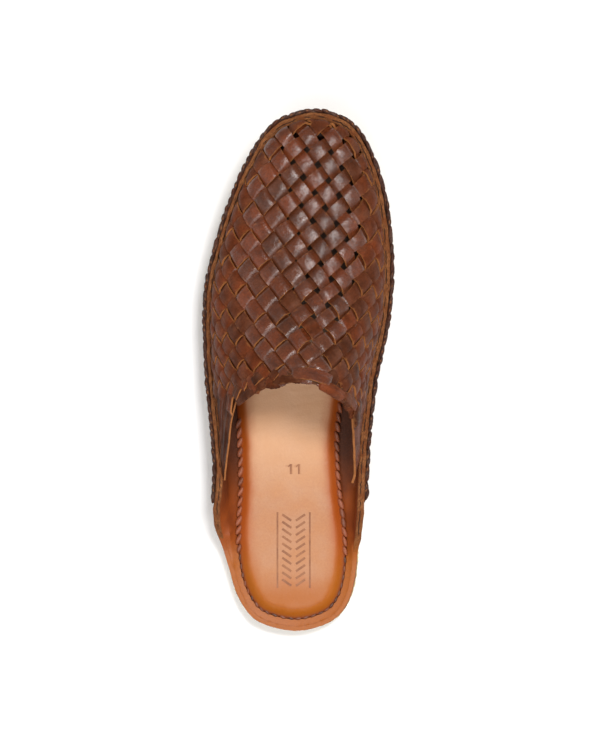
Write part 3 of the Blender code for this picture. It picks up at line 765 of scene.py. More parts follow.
def waxed_leather(name, stops, roughness, specular, bloom):
    """Waxed, vegetable-tanned cowhide, skived into strips: an even brown with a satin glow,
    fine pores, long soft wrinkles along the strip and a greyish bloom where it bends."""
    material, tree, shader, where, uv = new_material(
        name, roughness, ior=1.5, Specular_IOR_Level=specular)
    tone = add_node(tree, NOTE, {"attribute_name": "tone"}).outputs["Fac"]
    ramp = add_node(tree, "ShaderNodeValToRGB", links={"Fac": tone})
    bar = ramp.color_ramp
    bar.elements[0].position, bar.elements[0].color = 0.0, (*stops[0], 1.0)
    bar.elements[1].position, bar.elements[1].color = 1.0, (*stops[-1], 1.0)
    for n, colour in enumerate(stops[1:-1], start=1):
        stop = bar.elements.new(n / (len(stops) - 1))
        stop.color = (*colour, 1.0)
    clouds = add_node(tree, NOISE, {"Scale": per_metre(7.0), "Detail": 4.0, "Roughness": 0.6},
                      {"Vector": where})
    grain = add_node(tree, NOISE, {"Scale": per_metre(0.9), "Detail": 4.0, "Roughness": 0.65},
                     {"Vector": where})
    haze = add_node(tree, NOISE, {"Scale": per_metre(11.0), "Detail": 3.0}, {"Vector": where})
    long = add_node(tree, MAPPING, {"Scale": (0.2, 1.0, 1.0)}, {"Vector": uv})
    wrinkle = add_node(tree, NOISE, {"Scale": per_metre(1.1), "Detail": 3.0, "Roughness": 0.6,
                                     "Distortion": 0.6}, {"Vector": long})
    base = stain(tree, ramp.outputs["Color"], dim(stops[0], 0.42), clouds, 0.38, 0.66, 0.5)
    base = stain(tree, base, colours().strip_bloom, haze, 0.46, 0.72, bloom)
    base = stain(tree, base, dim(stops[0], 0.3), wrinkle, 0.30, 0.46, 0.0, 0.30)
    base = stain(tree, base, dim(stops[0], 0.3), grain, 0.35, 0.62, 0.0, 0.35)
    worn = add_node(tree, NOISE, {"Scale": per_metre(2.2), "Detail": 3.0}, {"Vector": where})
    rim = add_node(tree, NOTE, {"attribute_name": "rim"}).outputs["Fac"]
    both = add_node(tree, "ShaderNodeMath", {"operation": "MULTIPLY"}, {0: rim, 1: worn})
    base = stain(tree, base, colours().cut_edge, both, 0.45, 0.62, 0.22)
    gloss = add_node(tree, LEVELS, {"From Min": 0.3, "From Max": 0.7, "To Min": roughness - 0.06,
                                    "To Max": roughness + 0.1}, {"Value": clouds})
    tree.links.new(gloss.outputs[0], shader.inputs["Roughness"])
    dress(tree, shader, base, (wrinkle, 0.16), (grain, 0.13), (clouds, 0.5))
    return material


def raw_edge(name, colour, dark, roughness=0.78, staining=0.35, stain_mm=5.0):
    """Cut leather edge, neither dyed nor sealed: dry tan fibres with darker stains."""
    material, tree, shader, where, _ = new_material(
        name, roughness, ior=1.45, Specular_IOR_Level=0.25)
    fibres = add_node(tree, NOISE, {"Scale": per_metre(0.7), "Detail": 4.0, "Roughness": 0.7},
                      {"Vector": where})
    stains = add_node(tree, NOISE, {"Scale": per_metre(stain_mm), "Detail": 3.0},
                      {"Vector": where})
    base = stain(tree, colour, dark, fibres, 0.4, 0.7, 0.45)
    base = stain(tree, base, dark, stains, 0.5, 0.7, staining)
    dress(tree, shader, base, (fibres, 0.18))
    return material


def frayed_band_edge():
    """Raw edge of the thick band, cut by hand and handled: tan and dark brown fibres that run
    along it in streaks a few millimetres long."""
    material, tree, shader, where, _ = new_material(
        "frayed_band_edge", 0.85, ior=1.45, Specular_IOR_Level=0.2)
    run, lay, heel = (add_node(tree, NOTE, {"attribute_name": name}).outputs["Fac"]
                      for name in ("run", "lay", "heel"))
    along = add_node(tree, "ShaderNodeCombineXYZ", links={"X": run, "Y": lay})
    streaks = add_node(tree, NOISE, {"Scale": per_metre(0.9), "Detail": 5.0, "Roughness": 0.72,
                                     "Distortion": 0.2}, {"Vector": along})
    blots = add_node(tree, NOISE, {"Scale": per_metre(6.0), "Detail": 3.0}, {"Vector": where})
    fibres = add_node(tree, NOISE, {"Scale": per_metre(0.7), "Detail": 4.0, "Roughness": 0.7},
                      {"Vector": where})
    base = stain(tree, linear("#a66a3e"), linear("#402216"), streaks, 0.40, 0.66, 0.85)
    base = stain(tree, base, linear("#6a3a22"), blots, 0.42, 0.64, 0.65)
    base = stain(tree, base, linear("#2c170d"), fibres, 0.35, 0.6, 0.0, 0.4)
    base = stain(tree, base, HEEL_TAN, heel, 0.0, 1.0)
    base = stain(tree, base, linear("#8a4a1f"), blots, 0.45, 0.65, 0.35)
    dress(tree, shader, base, (fibres, 0.2), (streaks, 0.5))
    return material


def brushed_suede():
    """Rough-out cowhide: matt orange-brown nap, rubbed dark and greasy in patches."""
    material, tree, shader, where, _ = new_material(
        "rough_out_suede", 0.92, ior=1.45, Sheen_Weight=0.3, Sheen_Roughness=0.5,
        Specular_IOR_Level=0.25)
    nap = add_node(tree, NOISE, {"Scale": per_metre(0.8), "Detail": 5.0, "Roughness": 0.7},
                   {"Vector": where})
    patches = add_node(tree, NOISE, {"Scale": per_metre(7.0), "Detail": 4.0, "Roughness": 0.6,
                                     "Distortion": 0.8}, {"Vector": where})
    low = add_node(tree, NOISE, {"Scale": per_metre(16.0), "Detail": 2.0}, {"Vector": where})
    painted_shade = add_node(tree, NOTE, {"attribute_name": "painted_shade"}).outputs["Fac"]
    base = stain(tree, colours().suede, colours().suede_dark, patches, 0.40, 0.66, 0.85)
    base = stain(tree, base, linear("#a3592a"), low, 0.45, 0.65, 0.45)
    base = stain(tree, base, dim(colours().suede_dark, 0.35), nap, 0.3, 0.62, 0.0, 0.5)
    # painted shade from the band's note: along the lacing, under the top edge and in the windows
    base = stain(tree, base, linear("#2b1a10"), painted_shade, 0.0, 1.0)
    dress(tree, shader, base, (nap, 0.3), (patches, 0.3))
    return material


def smooth_lining():
    """Grain side of the band, turned inward: orange-brown, lightly polished by the foot, and
    darkened with painted shade towards the vamp."""
    material, tree, shader, where, _ = new_material(
        "polished_lining_leather", 0.48, ior=1.5, Specular_IOR_Level=0.35)
    clouds = add_node(tree, NOISE, {"Scale": per_metre(12.0), "Detail": 3.0}, {"Vector": where})
    pores = add_node(tree, NOISE, {"Scale": per_metre(0.7), "Detail": 4.0, "Roughness": 0.7},
                     {"Vector": where})
    heel, front = (add_node(tree, NOTE, {"attribute_name": name}).outputs["Fac"]
                   for name in ("heel", "front"))
    base = stain(tree, colours().lining, linear("#6d2d0e"), clouds, 0.4, 0.65, 0.6)
    # painted shade: the lining darkens towards the vamp
    base = stain(tree, base, linear("#2f150a"), front, 0.0, 1.0)
    base = stain(tree, base, HEEL_TAN, heel, 0.0, 1.0)
    base = stain(tree, base, linear("#7a4526"), pores, 0.32, 0.55, 0.0, 0.4)
    dress(tree, shader, base, (pores, 0.06), (clouds, 0.3))
    return material


def crepe_rubber():
    """Natural crepe, pressed from washed latex: pale honey, spongy, with darker pits."""
    material, tree, shader, where, _ = new_material(
        "natural_crepe_rubber", 0.82, ior=1.52, Subsurface_Weight=0.08, Subsurface_Scale=0.002,
        Subsurface_Radius=(1.0, 0.6, 0.25))
    crumb = add_node(tree, VORONOI, {"Scale": per_metre(1.5)}, {"Vector": where})
    fine = add_node(tree, NOISE, {"Scale": per_metre(0.9), "Detail": 4.0, "Roughness": 0.7},
                    {"Vector": where})
    clouds = add_node(tree, NOISE, {"Scale": per_metre(9.0), "Detail": 3.0}, {"Vector": where})
    base = stain(tree, colours().crepe, linear("#b5924f"), clouds, 0.4, 0.66, 0.6)
    base = stain(tree, base, linear("#ead9b0"), crumb, 0.35, 0.85, 0.45)
    base = stain(tree, base, linear("#8c6a35"), fine, 0.3, 0.5, 0.0, 0.55)
    dress(tree, shader, base, (crumb, 0.5), (fine, 0.3))
    return material


def stained_midsole():
    """Edge of a pressed sole-leather layer: red-brown ink over fibres that lie flat."""
    material, tree, shader, where, _ = new_material("inked_sole_leather", 0.62, ior=1.5)
    flat = add_node(tree, MAPPING, {"Scale": (1 / 6, 1 / 6, 1.0)}, {"Vector": where})
    plies = add_node(tree, NOISE, {"Scale": per_metre(0.5), "Detail": 3.0, "Roughness": 0.6},
                     {"Vector": flat})
    blots = add_node(tree, NOISE, {"Scale": per_metre(6.0), "Detail": 4.0}, {"Vector": where})
    base = stain(tree, colours().midsole, linear("#55291a"), blots, 0.4, 0.65, 0.6)
    base = stain(tree, base, linear("#a86a3c"), plies, 0.5, 0.7, 0.5)
    dress(tree, shader, base, (plies, 0.2))
    return material


def insole_leather():
    """Full-grain insole: pinkish tan, open pores, burnished orange at its pressed margin, with
    painted light towards the throat, where the vamp shades it, and painted shade under the vamp."""
    material, tree, shader, where, _ = new_material(
        "full_grain_insole_leather", 0.46, ior=1.5, Specular_IOR_Level=0.35)
    clouds = add_node(tree, NOISE, {"Scale": per_metre(16.0), "Detail": 4.0}, {"Vector": where})
    pores = add_node(tree, VORONOI, {"Scale": per_metre(1.3)}, {"Vector": where})
    skin = add_node(tree, NOISE, {"Scale": per_metre(1.3), "Detail": 5.0, "Roughness": 0.7},
                    {"Vector": where})
    margin, heel, worn, painted_light = (add_node(tree, NOTE, {"attribute_name": name}).outputs["Fac"]
                                for name in ("margin", "heel", "worn", "painted_light"))
    middle = stain(tree, colours().insole, linear("#bd7f50"), clouds, 0.4, 0.62, 0.6)
    middle = stain(tree, middle, linear("#a9694a"), skin, 0.36, 0.6, 0.0, 0.3)
    border = stain(tree, colours().insole_margin, colours().insole_heel, heel, 0.0, 1.0)
    border = stain(tree, linear("#6b2a0c"), border, margin, 0.0, 0.35)
    # painted light: the middle is paler towards the throat, to lift the vamp's shadow there
    middle = stain(tree, middle, linear("#f2bd90"), painted_light, 0.0, 1.0, 0.58)
    base = stain(tree, border, middle, margin, 0.35, 1.0)
    # painted shade: the insole goes dark under the vamp, where only shade falls
    base = stain(tree, base, linear("#2a160c"), worn, 0.0, 1.0)
    gloss = add_node(tree, LEVELS, {"From Min": 0.35, "From Max": 0.65, "To Min": 0.42,
                                    "To Max": 0.54}, {"Value": clouds})
    tree.links.new(gloss.outputs[0], shader.inputs["Roughness"])
    dress(tree, shader, base, (pores, 0.05), (skin, 0.10), (clouds, 0.5))
    return material


def plain_leather(name, colour, dark, roughness, grain_mm=0.8, depth=0.12):
    """Small leather details: a pressed mark, a line of glue or a narrow strip."""
    material, tree, shader, where, _ = new_material(name, roughness, ior=1.5)
    grain = add_node(tree, NOISE, {"Scale": per_metre(grain_mm), "Detail": 4.0,
                                   "Roughness": 0.65}, {"Vector": where})
    clouds = add_node(tree, NOISE, {"Scale": per_metre(6.0), "Detail": 3.0}, {"Vector": where})
    base = stain(tree, colour, dark, clouds, 0.38, 0.66)
    base = stain(tree, base, dim(dark, 0.5), grain, 0.3, 0.58, 0.0, 0.4)
    dress(tree, shader, base, (grain, depth))
    return material


def stitch_leather():
    """Rolled leather thong: reddish tan with a low sheen, darker where it sinks in."""
    material, tree, shader, where, _ = new_material("rolled_thong_leather", 0.5, ior=1.5)
    tone = add_node(tree, NOTE, {"attribute_name": "tone"}).outputs["Fac"]
    grain = add_node(tree, NOISE, {"Scale": per_metre(0.8), "Detail": 4.0}, {"Vector": where})
    dark = dim(colours().stitch, 0.28)
    base = stain(tree, dark, colours().stitch, tone, 0.0, 0.7)
    base = stain(tree, base, dark, grain, 0.3, 0.58, 0.0, 0.5)
    dress(tree, shader, base, (grain, 0.15))
    return material


def plait_leather():
    """Waxed strand, the darkest leather of the shoe, with grey patches of painted sheen, and tan
    where a corner of it was cut."""
    material, tree, shader, where, _ = new_material(
        "waxed_plait_leather", 0.42, ior=1.5, Specular_IOR_Level=0.12)
    tone, rim = (add_node(tree, NOTE, {"attribute_name": name}).outputs["Fac"]
                 for name in ("tone", "rim"))
    grain = add_node(tree, NOISE, {"Scale": per_metre(0.8), "Detail": 4.0, "Roughness": 0.65},
                     {"Vector": where})
    clouds = add_node(tree, NOISE, {"Scale": per_metre(4.0), "Detail": 3.0}, {"Vector": where})
    base = stain(tree, colours().plait, linear("#5a3122"), tone, 0.0, 1.0)
    # painted sheen: grey patches stand in for the strand's grey highlights
    base = stain(tree, base, linear("#665046"), clouds, 0.45, 0.68, 0.5)
    base = stain(tree, base, linear("#1a0f0a"), grain, 0.3, 0.55, 0.0, 0.6)
    base = stain(tree, base, colours().cut_edge, rim, 0.0, 1.0)
    dress(tree, shader, base, (grain, 0.14), (clouds, 0.3))
    return material


def strip_leathers():
    """Top, back and cut edge of a glossy strip and of a rubbed one, made once."""
    if "waxed_strip_leather" not in bpy.data.materials:
        c = colours()
        stops = (c.strip_deep, linear("#613420"), c.strip_brown, c.strip_red)
        waxed_leather("waxed_strip_leather", stops, 0.25, 0.5, 0.12)
        waxed_leather("rubbed_strip_leather", stops, 0.45, 0.06, 0.45)
        raw_edge("raw_strip_edge", c.cut_edge, linear("#6e3f22"))
        # painted shade: a darker copy of the cut edge for the rubbed strips, whose edges face the
        # lamps
        raw_edge("strip_edge_in_painted_shade", linear("#a96a3b"), linear("#633819"))
        raw_edge("flesh_side_of_strip", c.flesh_side, linear("#2b1a10"), 0.85)
    names = ("waxed_strip_leather", "flesh_side_of_strip", "raw_strip_edge",
             "rubbed_strip_leather", "flesh_side_of_strip", "strip_edge_in_painted_shade")
    return [bpy.data.materials[name] for name in names]


def blob(name, spot, segments=14, rings=9, notes=None):
    """A rounded lump: a sphere whose points are laid out by spot(points)."""
    piece = primitive(name, bpy.ops.mesh.primitive_uv_sphere_add, segments=segments,
                      ring_count=rings, radius=1.0)
    set_points(piece, spot(get_points(piece)))
    for key, values in (notes or {}).items():
        note(piece, key, values)
    return piece


def paint(piece, name, choose):
    """Material index of each face, chosen from the least of its corners' values of a note."""
    field = np.empty(len(piece.data.vertices))
    piece.data.attributes[name].data.foreach_get("value", field)
    indexes = [choose(field[list(face.vertices)].min()) for face in piece.data.polygons]
    piece.data.polygons.foreach_set("material_index", indexes)


# The stations of the sole's edge, and for each the one at which its middle line is read.
STATIONS = np.arange(EDGE.count)
SPINE_ENDS = [int(EDGE.stations(y)[0]) for y in (-104.0, 98.0)]
SPINE = np.clip(np.minimum(STATIONS, EDGE.count - STATIONS), *SPINE_ENDS)
EDGE_X, EDGE_Y = EDGE.points.T


def ring_at(offset, height, inward=0.0):
    """A ring off the sole's edge, drawn in towards the middle line by a share of the way."""
    flat = EDGE.at(STATIONS, np.broadcast_to(offset, STATIONS.shape), 0.0)[:, :2]
    middle = 0.5 * (flat + flat[-STATIONS % EDGE.count])[SPINE]
    flat = flat + (middle - flat) * inward
    return np.column_stack((flat, spring(flat[:, 1]) + height))


# -------- sole
WITHIN = -6.0               # offset of the rings that lead on to a layer's middle line


def layer(name, profile):
    """A layer of the sole from its section's (offset, height, inward) rows."""
    piece = merge(loft(name, np.stack([ring_at(*row) for row in profile])))
    soften(piece, 60)
    return piece


class SLIPPER_OT_sole(Operator):
    """Make the crepe sole and the stained midsole over it"""

    bl_idname = "slipper.sole"
    bl_label = "Crepe sole and midsole"

    def execute(self, context):
        ragged = [bumps(EDGE_X, EDGE_Y, 20 + n, size) for n, size in enumerate((3, 4, 3, 5, 3))]
        heel = ease(-EDGE_Y, 118.0, 146.0)
        crepe = layer("crepe_sole", (
            # offset                                    height              inward
            (WITHIN, 0.0, 1.0),
            (WITHIN, 0.0, 0.55),
            (WITHIN, 0.0, 0.0),
            (-1.1 - 1.6 * heel, 0.0, 0.0),
            (-0.35 - 1.1 * heel + 0.12 * ragged[0], 0.35 + 0.3 * heel, 0.0),
            (0.1 - 0.4 * heel + 0.22 * ragged[0], 1.3 + 0.5 * heel, 0.0),
            (0.3 + 0.28 * ragged[1], 2.9, 0.0),
            (0.3 + 0.28 * ragged[2], 4.4, 0.0),
            (0.25 + 0.28 * ragged[3], 5.7, 0.0),
            (0.05 + 0.3 * ragged[4], 6.45 + 0.15 * ragged[1], 0.0),
            (-0.6 + 0.1 * ragged[4], 6.85 + 0.05 * ragged[2], 0.0),
            (WITHIN, CREPE_THICK, 0.0),
            (WITHIN, CREPE_THICK, 1.0),
        ))
        finish(crepe, "outsole", crepe_rubber())
        wave = [bumps(EDGE_X, EDGE_Y, 30 + n, 6.0) for n in range(3)]
        foot, top = MIDSOLE_FOOT, MIDSOLE_FOOT + MIDSOLE_THICK
        midsole = layer("midsole_layer", (
            (WITHIN, foot, 1.0),
            (WITHIN, foot, 0.0),
            (-0.5, foot, 0.0),
            (-0.12 + 0.12 * wave[0], foot + 0.3, 0.0),
            (0.12 * wave[1], foot + 1.1, 0.0),
            (-0.12 + 0.12 * wave[2], top - 0.3, 0.0),
            (-0.5, top, 0.0),
            (WITHIN, top, 0.0),
            (WITHIN, top, 1.0),
        ))
        finish(midsole, "midsole", stained_midsole())
        return {"FINISHED"}


# -------- insole
MARGIN = 6.5                # mm from the insole's edge up to its flat middle
INSOLE_TOP = BAND_FOOT + INSOLE_EDGE + INSOLE_RISE
INSOLE_MIDDLE = INSOLE_TOP + 0.06
# The rings over its middle, as shares of the way to the middle line.
INNER_SHARES = (0.06, 0.14, 0.25, 0.34, 0.44, 0.54, 0.64, 0.75, 0.87, 1.0)


def insole_height(x, y):
    """Shape of the insole's middle over the plain level: crown, hollows and a crease."""
    crown = 0.35 * np.exp(-((x + 2.0) / 22.0) ** 2)
    cup = -0.5 * np.exp(-((x + 3.0) / 20.0) ** 2 - ((y + 112.0) / 26.0) ** 2)
    across = (y + 74.0) + 1.1 * (x - 17.0)
    crease = -0.28 * np.exp(-(across / 0.8) ** 2) * np.exp(-((x - 17.0) / 3.4) ** 2)
    return crown + cup + crease + 0.10 * bumps(x, y, 41, 22.0)


def most_margin(y):
    """The margin note's upper limit: burnishing spreads over the whole width at the heel."""
    return 1.0 - 0.55 * ease(-y, 111.0, 131.0)


class SLIPPER_OT_insole(Operator):
    """Make the insole, with its size number and ornament pressed in"""

    bl_idname = "slipper.insole"
    bl_label = "Insole"

    def execute(self, context):
        inset = EDGE.inset + GAP
        steps = (
            # in from the edge, height, margin note
            (0.0, BAND_FOOT, 0.0),
            (0.0, BAND_FOOT + 2.0, 0.0),
            (0.25, BAND_FOOT + 2.5, 0.0),
            (0.9, BAND_FOOT + 2.75, 0.1),
            (1.8, BAND_FOOT + 3.1, 0.25),
            (2.9, BAND_FOOT + 3.9, 0.33),
            (4.0, BAND_FOOT + 4.8, 0.37),
            (5.0, BAND_FOOT + 5.5, 0.43),
            (5.8, BAND_FOOT + 5.85, 0.50),
            (MARGIN, INSOLE_TOP, 0.60),
            (7.4, INSOLE_TOP + 0.05, 0.70),
            (8.4, INSOLE_MIDDLE, 0.80),
        )
        rings = [ring_at(-inset, BAND_FOOT, 1.0)]
        margins = [0.0]
        for reach, height, margin in steps:
            rings.append(ring_at(-inset - reach, height))
            margins.append(margin)
        for inward in INNER_SHARES:
            rings.append(ring_at(-inset - steps[-1][0], INSOLE_MIDDLE, inward))
            margins.append(float(np.interp(inward, INNER_SHARES[:3], (0.89, 0.965, 1.0))))
        rings = np.stack(rings)
        x, y = rings[..., 0], rings[..., 1]
        margins = np.array(margins)[:, None] * np.ones(len(STATIONS))
        shape = insole_height(x, y) * ease(margins, 0.55, 0.9)
        burnt = 0.30 * ease(-y, 100.0, 132.0) * ease(margins, 0.4, 0.6)
        margins = margins - burnt * (1.0 - ease(margins, 0.93, 1.0))
        uneven = 0.06 * bumps(x, y, 44, 14.0) * ease(margins, 0.3, 0.5)
        margins = margins + uneven * (margins < 0.95)
        margins = np.minimum(margins, most_margin(y))
        rings[..., 2] += shape + 0.05 * bumps(x, y, 43, 5.0) * (margins > 0.0)
        piece = merge(loft("insole_leather", rings,
                           {"margin": margins, "heel": ease(-y, 92.0, 122.0),
                            # painted shade under the vamp
                            "worn": 0.9 * ease(y, -6.0, 30.0),
                            # painted light, rising towards the throat where the vamp shades the
                            # insole
                            "painted_light": ease(y, -85.0, -28.0)}))
        press(piece, *pressed_marks())
        soften(piece, 40)
        mark = plain_leather("pressed_leather", linear("#a2683f"), linear("#8e5631"), 0.55)
        finish(piece, "insole", insole_leather(), mark)
        return {"FINISHED"}


# The marks pressed into the insole: places of their middles, sizes as (across, along).
MARK_DEPTH = 0.28
CUTTER_TALL = 4.0
NUMERAL_ONE = ((0.45, -2.9), (0.45, 2.9), (-0.25, 2.9), (-1.5, 1.9), (-1.5, 1.2), (-0.45, 1.75),
               (-0.45, -2.9))
NUMERALS = ((-5.6, -55.5), (-1.0, -55.5))
BORDERS = ((-13.4, -102.5), (5.4, -102.5))
BORDER_SIZE = (1.0, 44.0)
RIBS = (-4.0, -102.5)
RIB_SIZE = (6.4, 1.3)
RIB_PITCH = 4.2
RIB_ROWS = 10
RIB_SIDE = 4.0              # from the herringbone's middle to the middle of a rib
RIB_TURN = 0.6


def pressed(x, y):
    """Height of the floor of a pressed mark."""
    return INSOLE_MIDDLE + insole_height(x, y) - MARK_DEPTH


def bar(name, middle, size, turn=0.0, cuts=0):
    """A flat bar that presses one stroke into the insole: place and size in mm."""
    piece = primitive(name, bpy.ops.mesh.primitive_cube_add, size=1.0)
    if cuts:
        bpy.ops.object.mode_set(mode="EDIT")
        bpy.ops.mesh.subdivide(number_cuts=cuts)
        bpy.ops.object.mode_set(mode="OBJECT")
    cube = get_points(piece)
    flat = cube[:, :2] * size
    c, d = math.cos(turn), math.sin(turn)
    x = middle[0] + c * flat[:, 0] - d * flat[:, 1]
    y = middle[1] + d * flat[:, 0] + c * flat[:, 1]
    set_points(piece, np.column_stack((x, y, pressed(x, y) + (cube[:, 2] + 0.5) * CUTTER_TALL)))
    return piece


def numeral(middle, outline):
    """A cutter with a numeral's outline, given in mm round its middle."""
    piece = primitive("numeral", bpy.ops.mesh.primitive_cylinder_add, vertices=len(outline),
                      radius=1.0, depth=2.0)
    drum = get_points(piece)
    corner = np.rint(np.arctan2(drum[:, 1], drum[:, 0]) / (2 * np.pi) * len(outline))
    flat = np.array(outline)[corner.astype(int) % len(outline)] + middle
    height = pressed(*middle) + (drum[:, 2] + 1.0) * CUTTER_TALL / 2
    set_points(piece, np.column_stack((flat, height)))
    return merge(piece)


def pressed_marks():
    """The strokes of the size number and of a plain herringbone between two lines."""
    marks = [numeral(middle, NUMERAL_ONE) for middle in NUMERALS]
    marks += [bar("border", middle, BORDER_SIZE, cuts=9) for middle in BORDERS]
    x, y = RIBS
    for side in (-1.0, 1.0):
        for row in range(RIB_ROWS):
            middle = (x + RIB_SIDE * side, y + RIB_PITCH * (row - (RIB_ROWS - 1) / 2))
            marks.append(bar("rib", middle, RIB_SIZE, RIB_TURN * side, cuts=2))
    return marks


def press(piece, *cutters):
    """Cutters pressed into a piece; what they leave takes its second material."""
    cutter = join(list(cutters), "press")
    low, high = (choose(get_points(cutter)[:, :2], axis=0) for choose in (np.min, np.max))
    add_slots(piece, 2)
    stamp = bpy.data.materials.new("stamp")
    cutter.data.materials.append(stamp)
    piece.data.materials[1] = stamp
    apply(piece, "BOOLEAN", object=cutter, operation="DIFFERENCE", solver="EXACT",
          use_self=True, material_mode="TRANSFER")
    bpy.data.objects.remove(cutter)
    places = get_points(piece)[:, :2]
    inside = ((places > low - MM) & (places < high + MM)).all(axis=1)
    margin = np.empty(len(places))
    field = piece.data.attributes["margin"].data
    field.foreach_get("value", margin)
    field.foreach_set("value", np.where(inside, most_margin(places[:, 1] / MM), margin))
    return piece


# -------- stitches round the insole
STITCH_ENDS_Y = (-14.0, -24.0)          # the seam runs under the vamp to here, inner side first
STITCH_LEAN = 0.46


def thong_bead(k, reach, height, long, wide, tall, turn, tone):
    """One stitch of the thong: a twisted bead lying along the insole's edge."""
    middle = EDGE.at(k, -reach, height)
    along = unit(EDGE.at(k + 2.0, -reach, height) - EDGE.at(k - 2.0, -reach, height))
    up = np.array((0.0, 0.0, 1.0))
    side = unit(np.cross(up, along))
    c, d = math.cos(turn), math.sin(turn)
    along, side = c * along + d * side, c * side - d * along

    def spot(ball):
        x, y, z = ball.T
        twist = 1.4 * x
        groove = 1.0 + 0.16 * np.cos(2.0 * (np.arctan2(z, y) + twist))
        return (middle + along * (0.5 * long * x)[:, None]
                + side * (0.5 * wide * y * groove)[:, None]
                + up * (0.5 * tall * z * groove)[:, None])

    return blob("bead", spot, 10, 7, {"tone": tone})


class SLIPPER_OT_stitches(Operator):
    """Sew the insole down with a thong"""

    bl_idname = "slipper.stitches"
    bl_label = "Insole stitches"

    def execute(self, context):
        rng = np.random.default_rng(sizes().seed + 1)
        pitch = in_mm(sizes().stitch_pitch)
        inner_end, outer_end = (EDGE.stations(y)[n] for n, y in enumerate(STITCH_ENDS_Y))
        run = (inner_end + EDGE.count - outer_end) * EDGE.step
        beads = []
        for n in range(int(run / pitch)):
            k = inner_end - (n + 0.5) * pitch / EDGE.step
            y = EDGE.read(EDGE.points, k)[1]
            heel = float(ease(-y, 98.0, 112.0))
            reach = float(EDGE.read(EDGE.inset, k)) + GAP + 0.55 - 0.25 * heel
            height = BAND_FOOT + 3.2 - 0.75 * heel + rng.normal(0, 0.12)
            long = (7.0 - 2.9 * heel) * rng.uniform(0.92, 1.08)
            wide = 2.6 - 1.1 * heel + rng.normal(0, 0.2)
            turn = math.copysign(STITCH_LEAN, k) * (1 - 0.6 * heel) + rng.normal(0, 0.06)
            tone = np.clip(rng.normal(0.7, 0.2) - 0.5 * heel, 0, 1)
            beads.append(thong_bead(k, reach, height, long, wide, 2.3 - 1.0 * heel, turn, tone))
        piece = join(beads, "insole_thong")
        soften(piece, 60)
        finish(piece, "insole", stitch_leather())
        return {"FINISHED"}


# -------- side band
WINDOW_PITCH = 9.6
WINDOW_FOOT = 16.5
WINDOW_DEEP = 0.7
WINDOW_SIDES = (0.11, 0.135)        # where a window's side starts and ends, in units
WINDOW_Y = (-74.0, 36.0)
UNIT_SAMPLES = (0.0, 0.055, 0.11, 0.135, 0.24, 0.37, 0.5, 0.63, 0.76, 0.865, 0.89, 0.945)


def window_runs():
    """Each side's windows as (first station, length of a unit in stations, count)."""
    back, front = EDGE.stations(WINDOW_Y[0]), EDGE.stations(WINDOW_Y[1])
    runs = []
    for first, last in ((back[0], front[0]), (front[1], back[1])):
        count = int((last - first) * EDGE.step / WINDOW_PITCH)
        runs.append((first, (last - first) / count, count))
    return runs


def band_stations():
    """Stations for the band's mesh, lined up with the sides of its windows."""
    found, at, spare = [], 0.0, 1.6
    for first, length, count in window_runs():
        found.extend(np.linspace(at, first, int((first - at) / spare), endpoint=False))
        for n in range(count):
            found.extend(first + (n + np.array(UNIT_SAMPLES)) * length)
        at = first + count * length
    found.extend(np.linspace(at, EDGE.count, int((EDGE.count - at) / spare), endpoint=False))
    return np.array(found)


def window_depth(k, height):
    """How deep the band is cut for the strips, 0 outside a window."""
    deep = np.zeros(np.broadcast(k, height).shape)
    for first, length, count in window_runs():
        part = (k - first) / length
        inside = (part >= 0) & (part <= count)
        part = part - np.floor(part)
        side = ease(0.5 - np.abs(part - 0.5), *WINDOW_SIDES)
        # a window's foot is straight in its middle and curves up towards its sides
        foot = WINDOW_FOOT + 0.35 + 1.2 * np.clip(np.abs(part - 0.5) / 0.38 - 0.55, 0, 1) ** 2
        deep = np.maximum(deep, inside * side * ease(height, foot - 0.35, foot))
    return WINDOW_DEEP * deep


STREAK = 3.5                # the raw edge's fibres are this many times longer than wide
BAND_HEIGHTS = (12.1, 13.2, 14.6, 16.0, 16.55, 16.95, 17.5, 18.8, 20.6, 22.4, 24.4, 26.6, 29.0)
FACE_FOOT, FACE_TOP = 11.8, 31.0        # the heights above are squeezed in where it is lower
SUEDE, RAW, GLUE, LINING = range(4)     # the band's leathers, by material slot


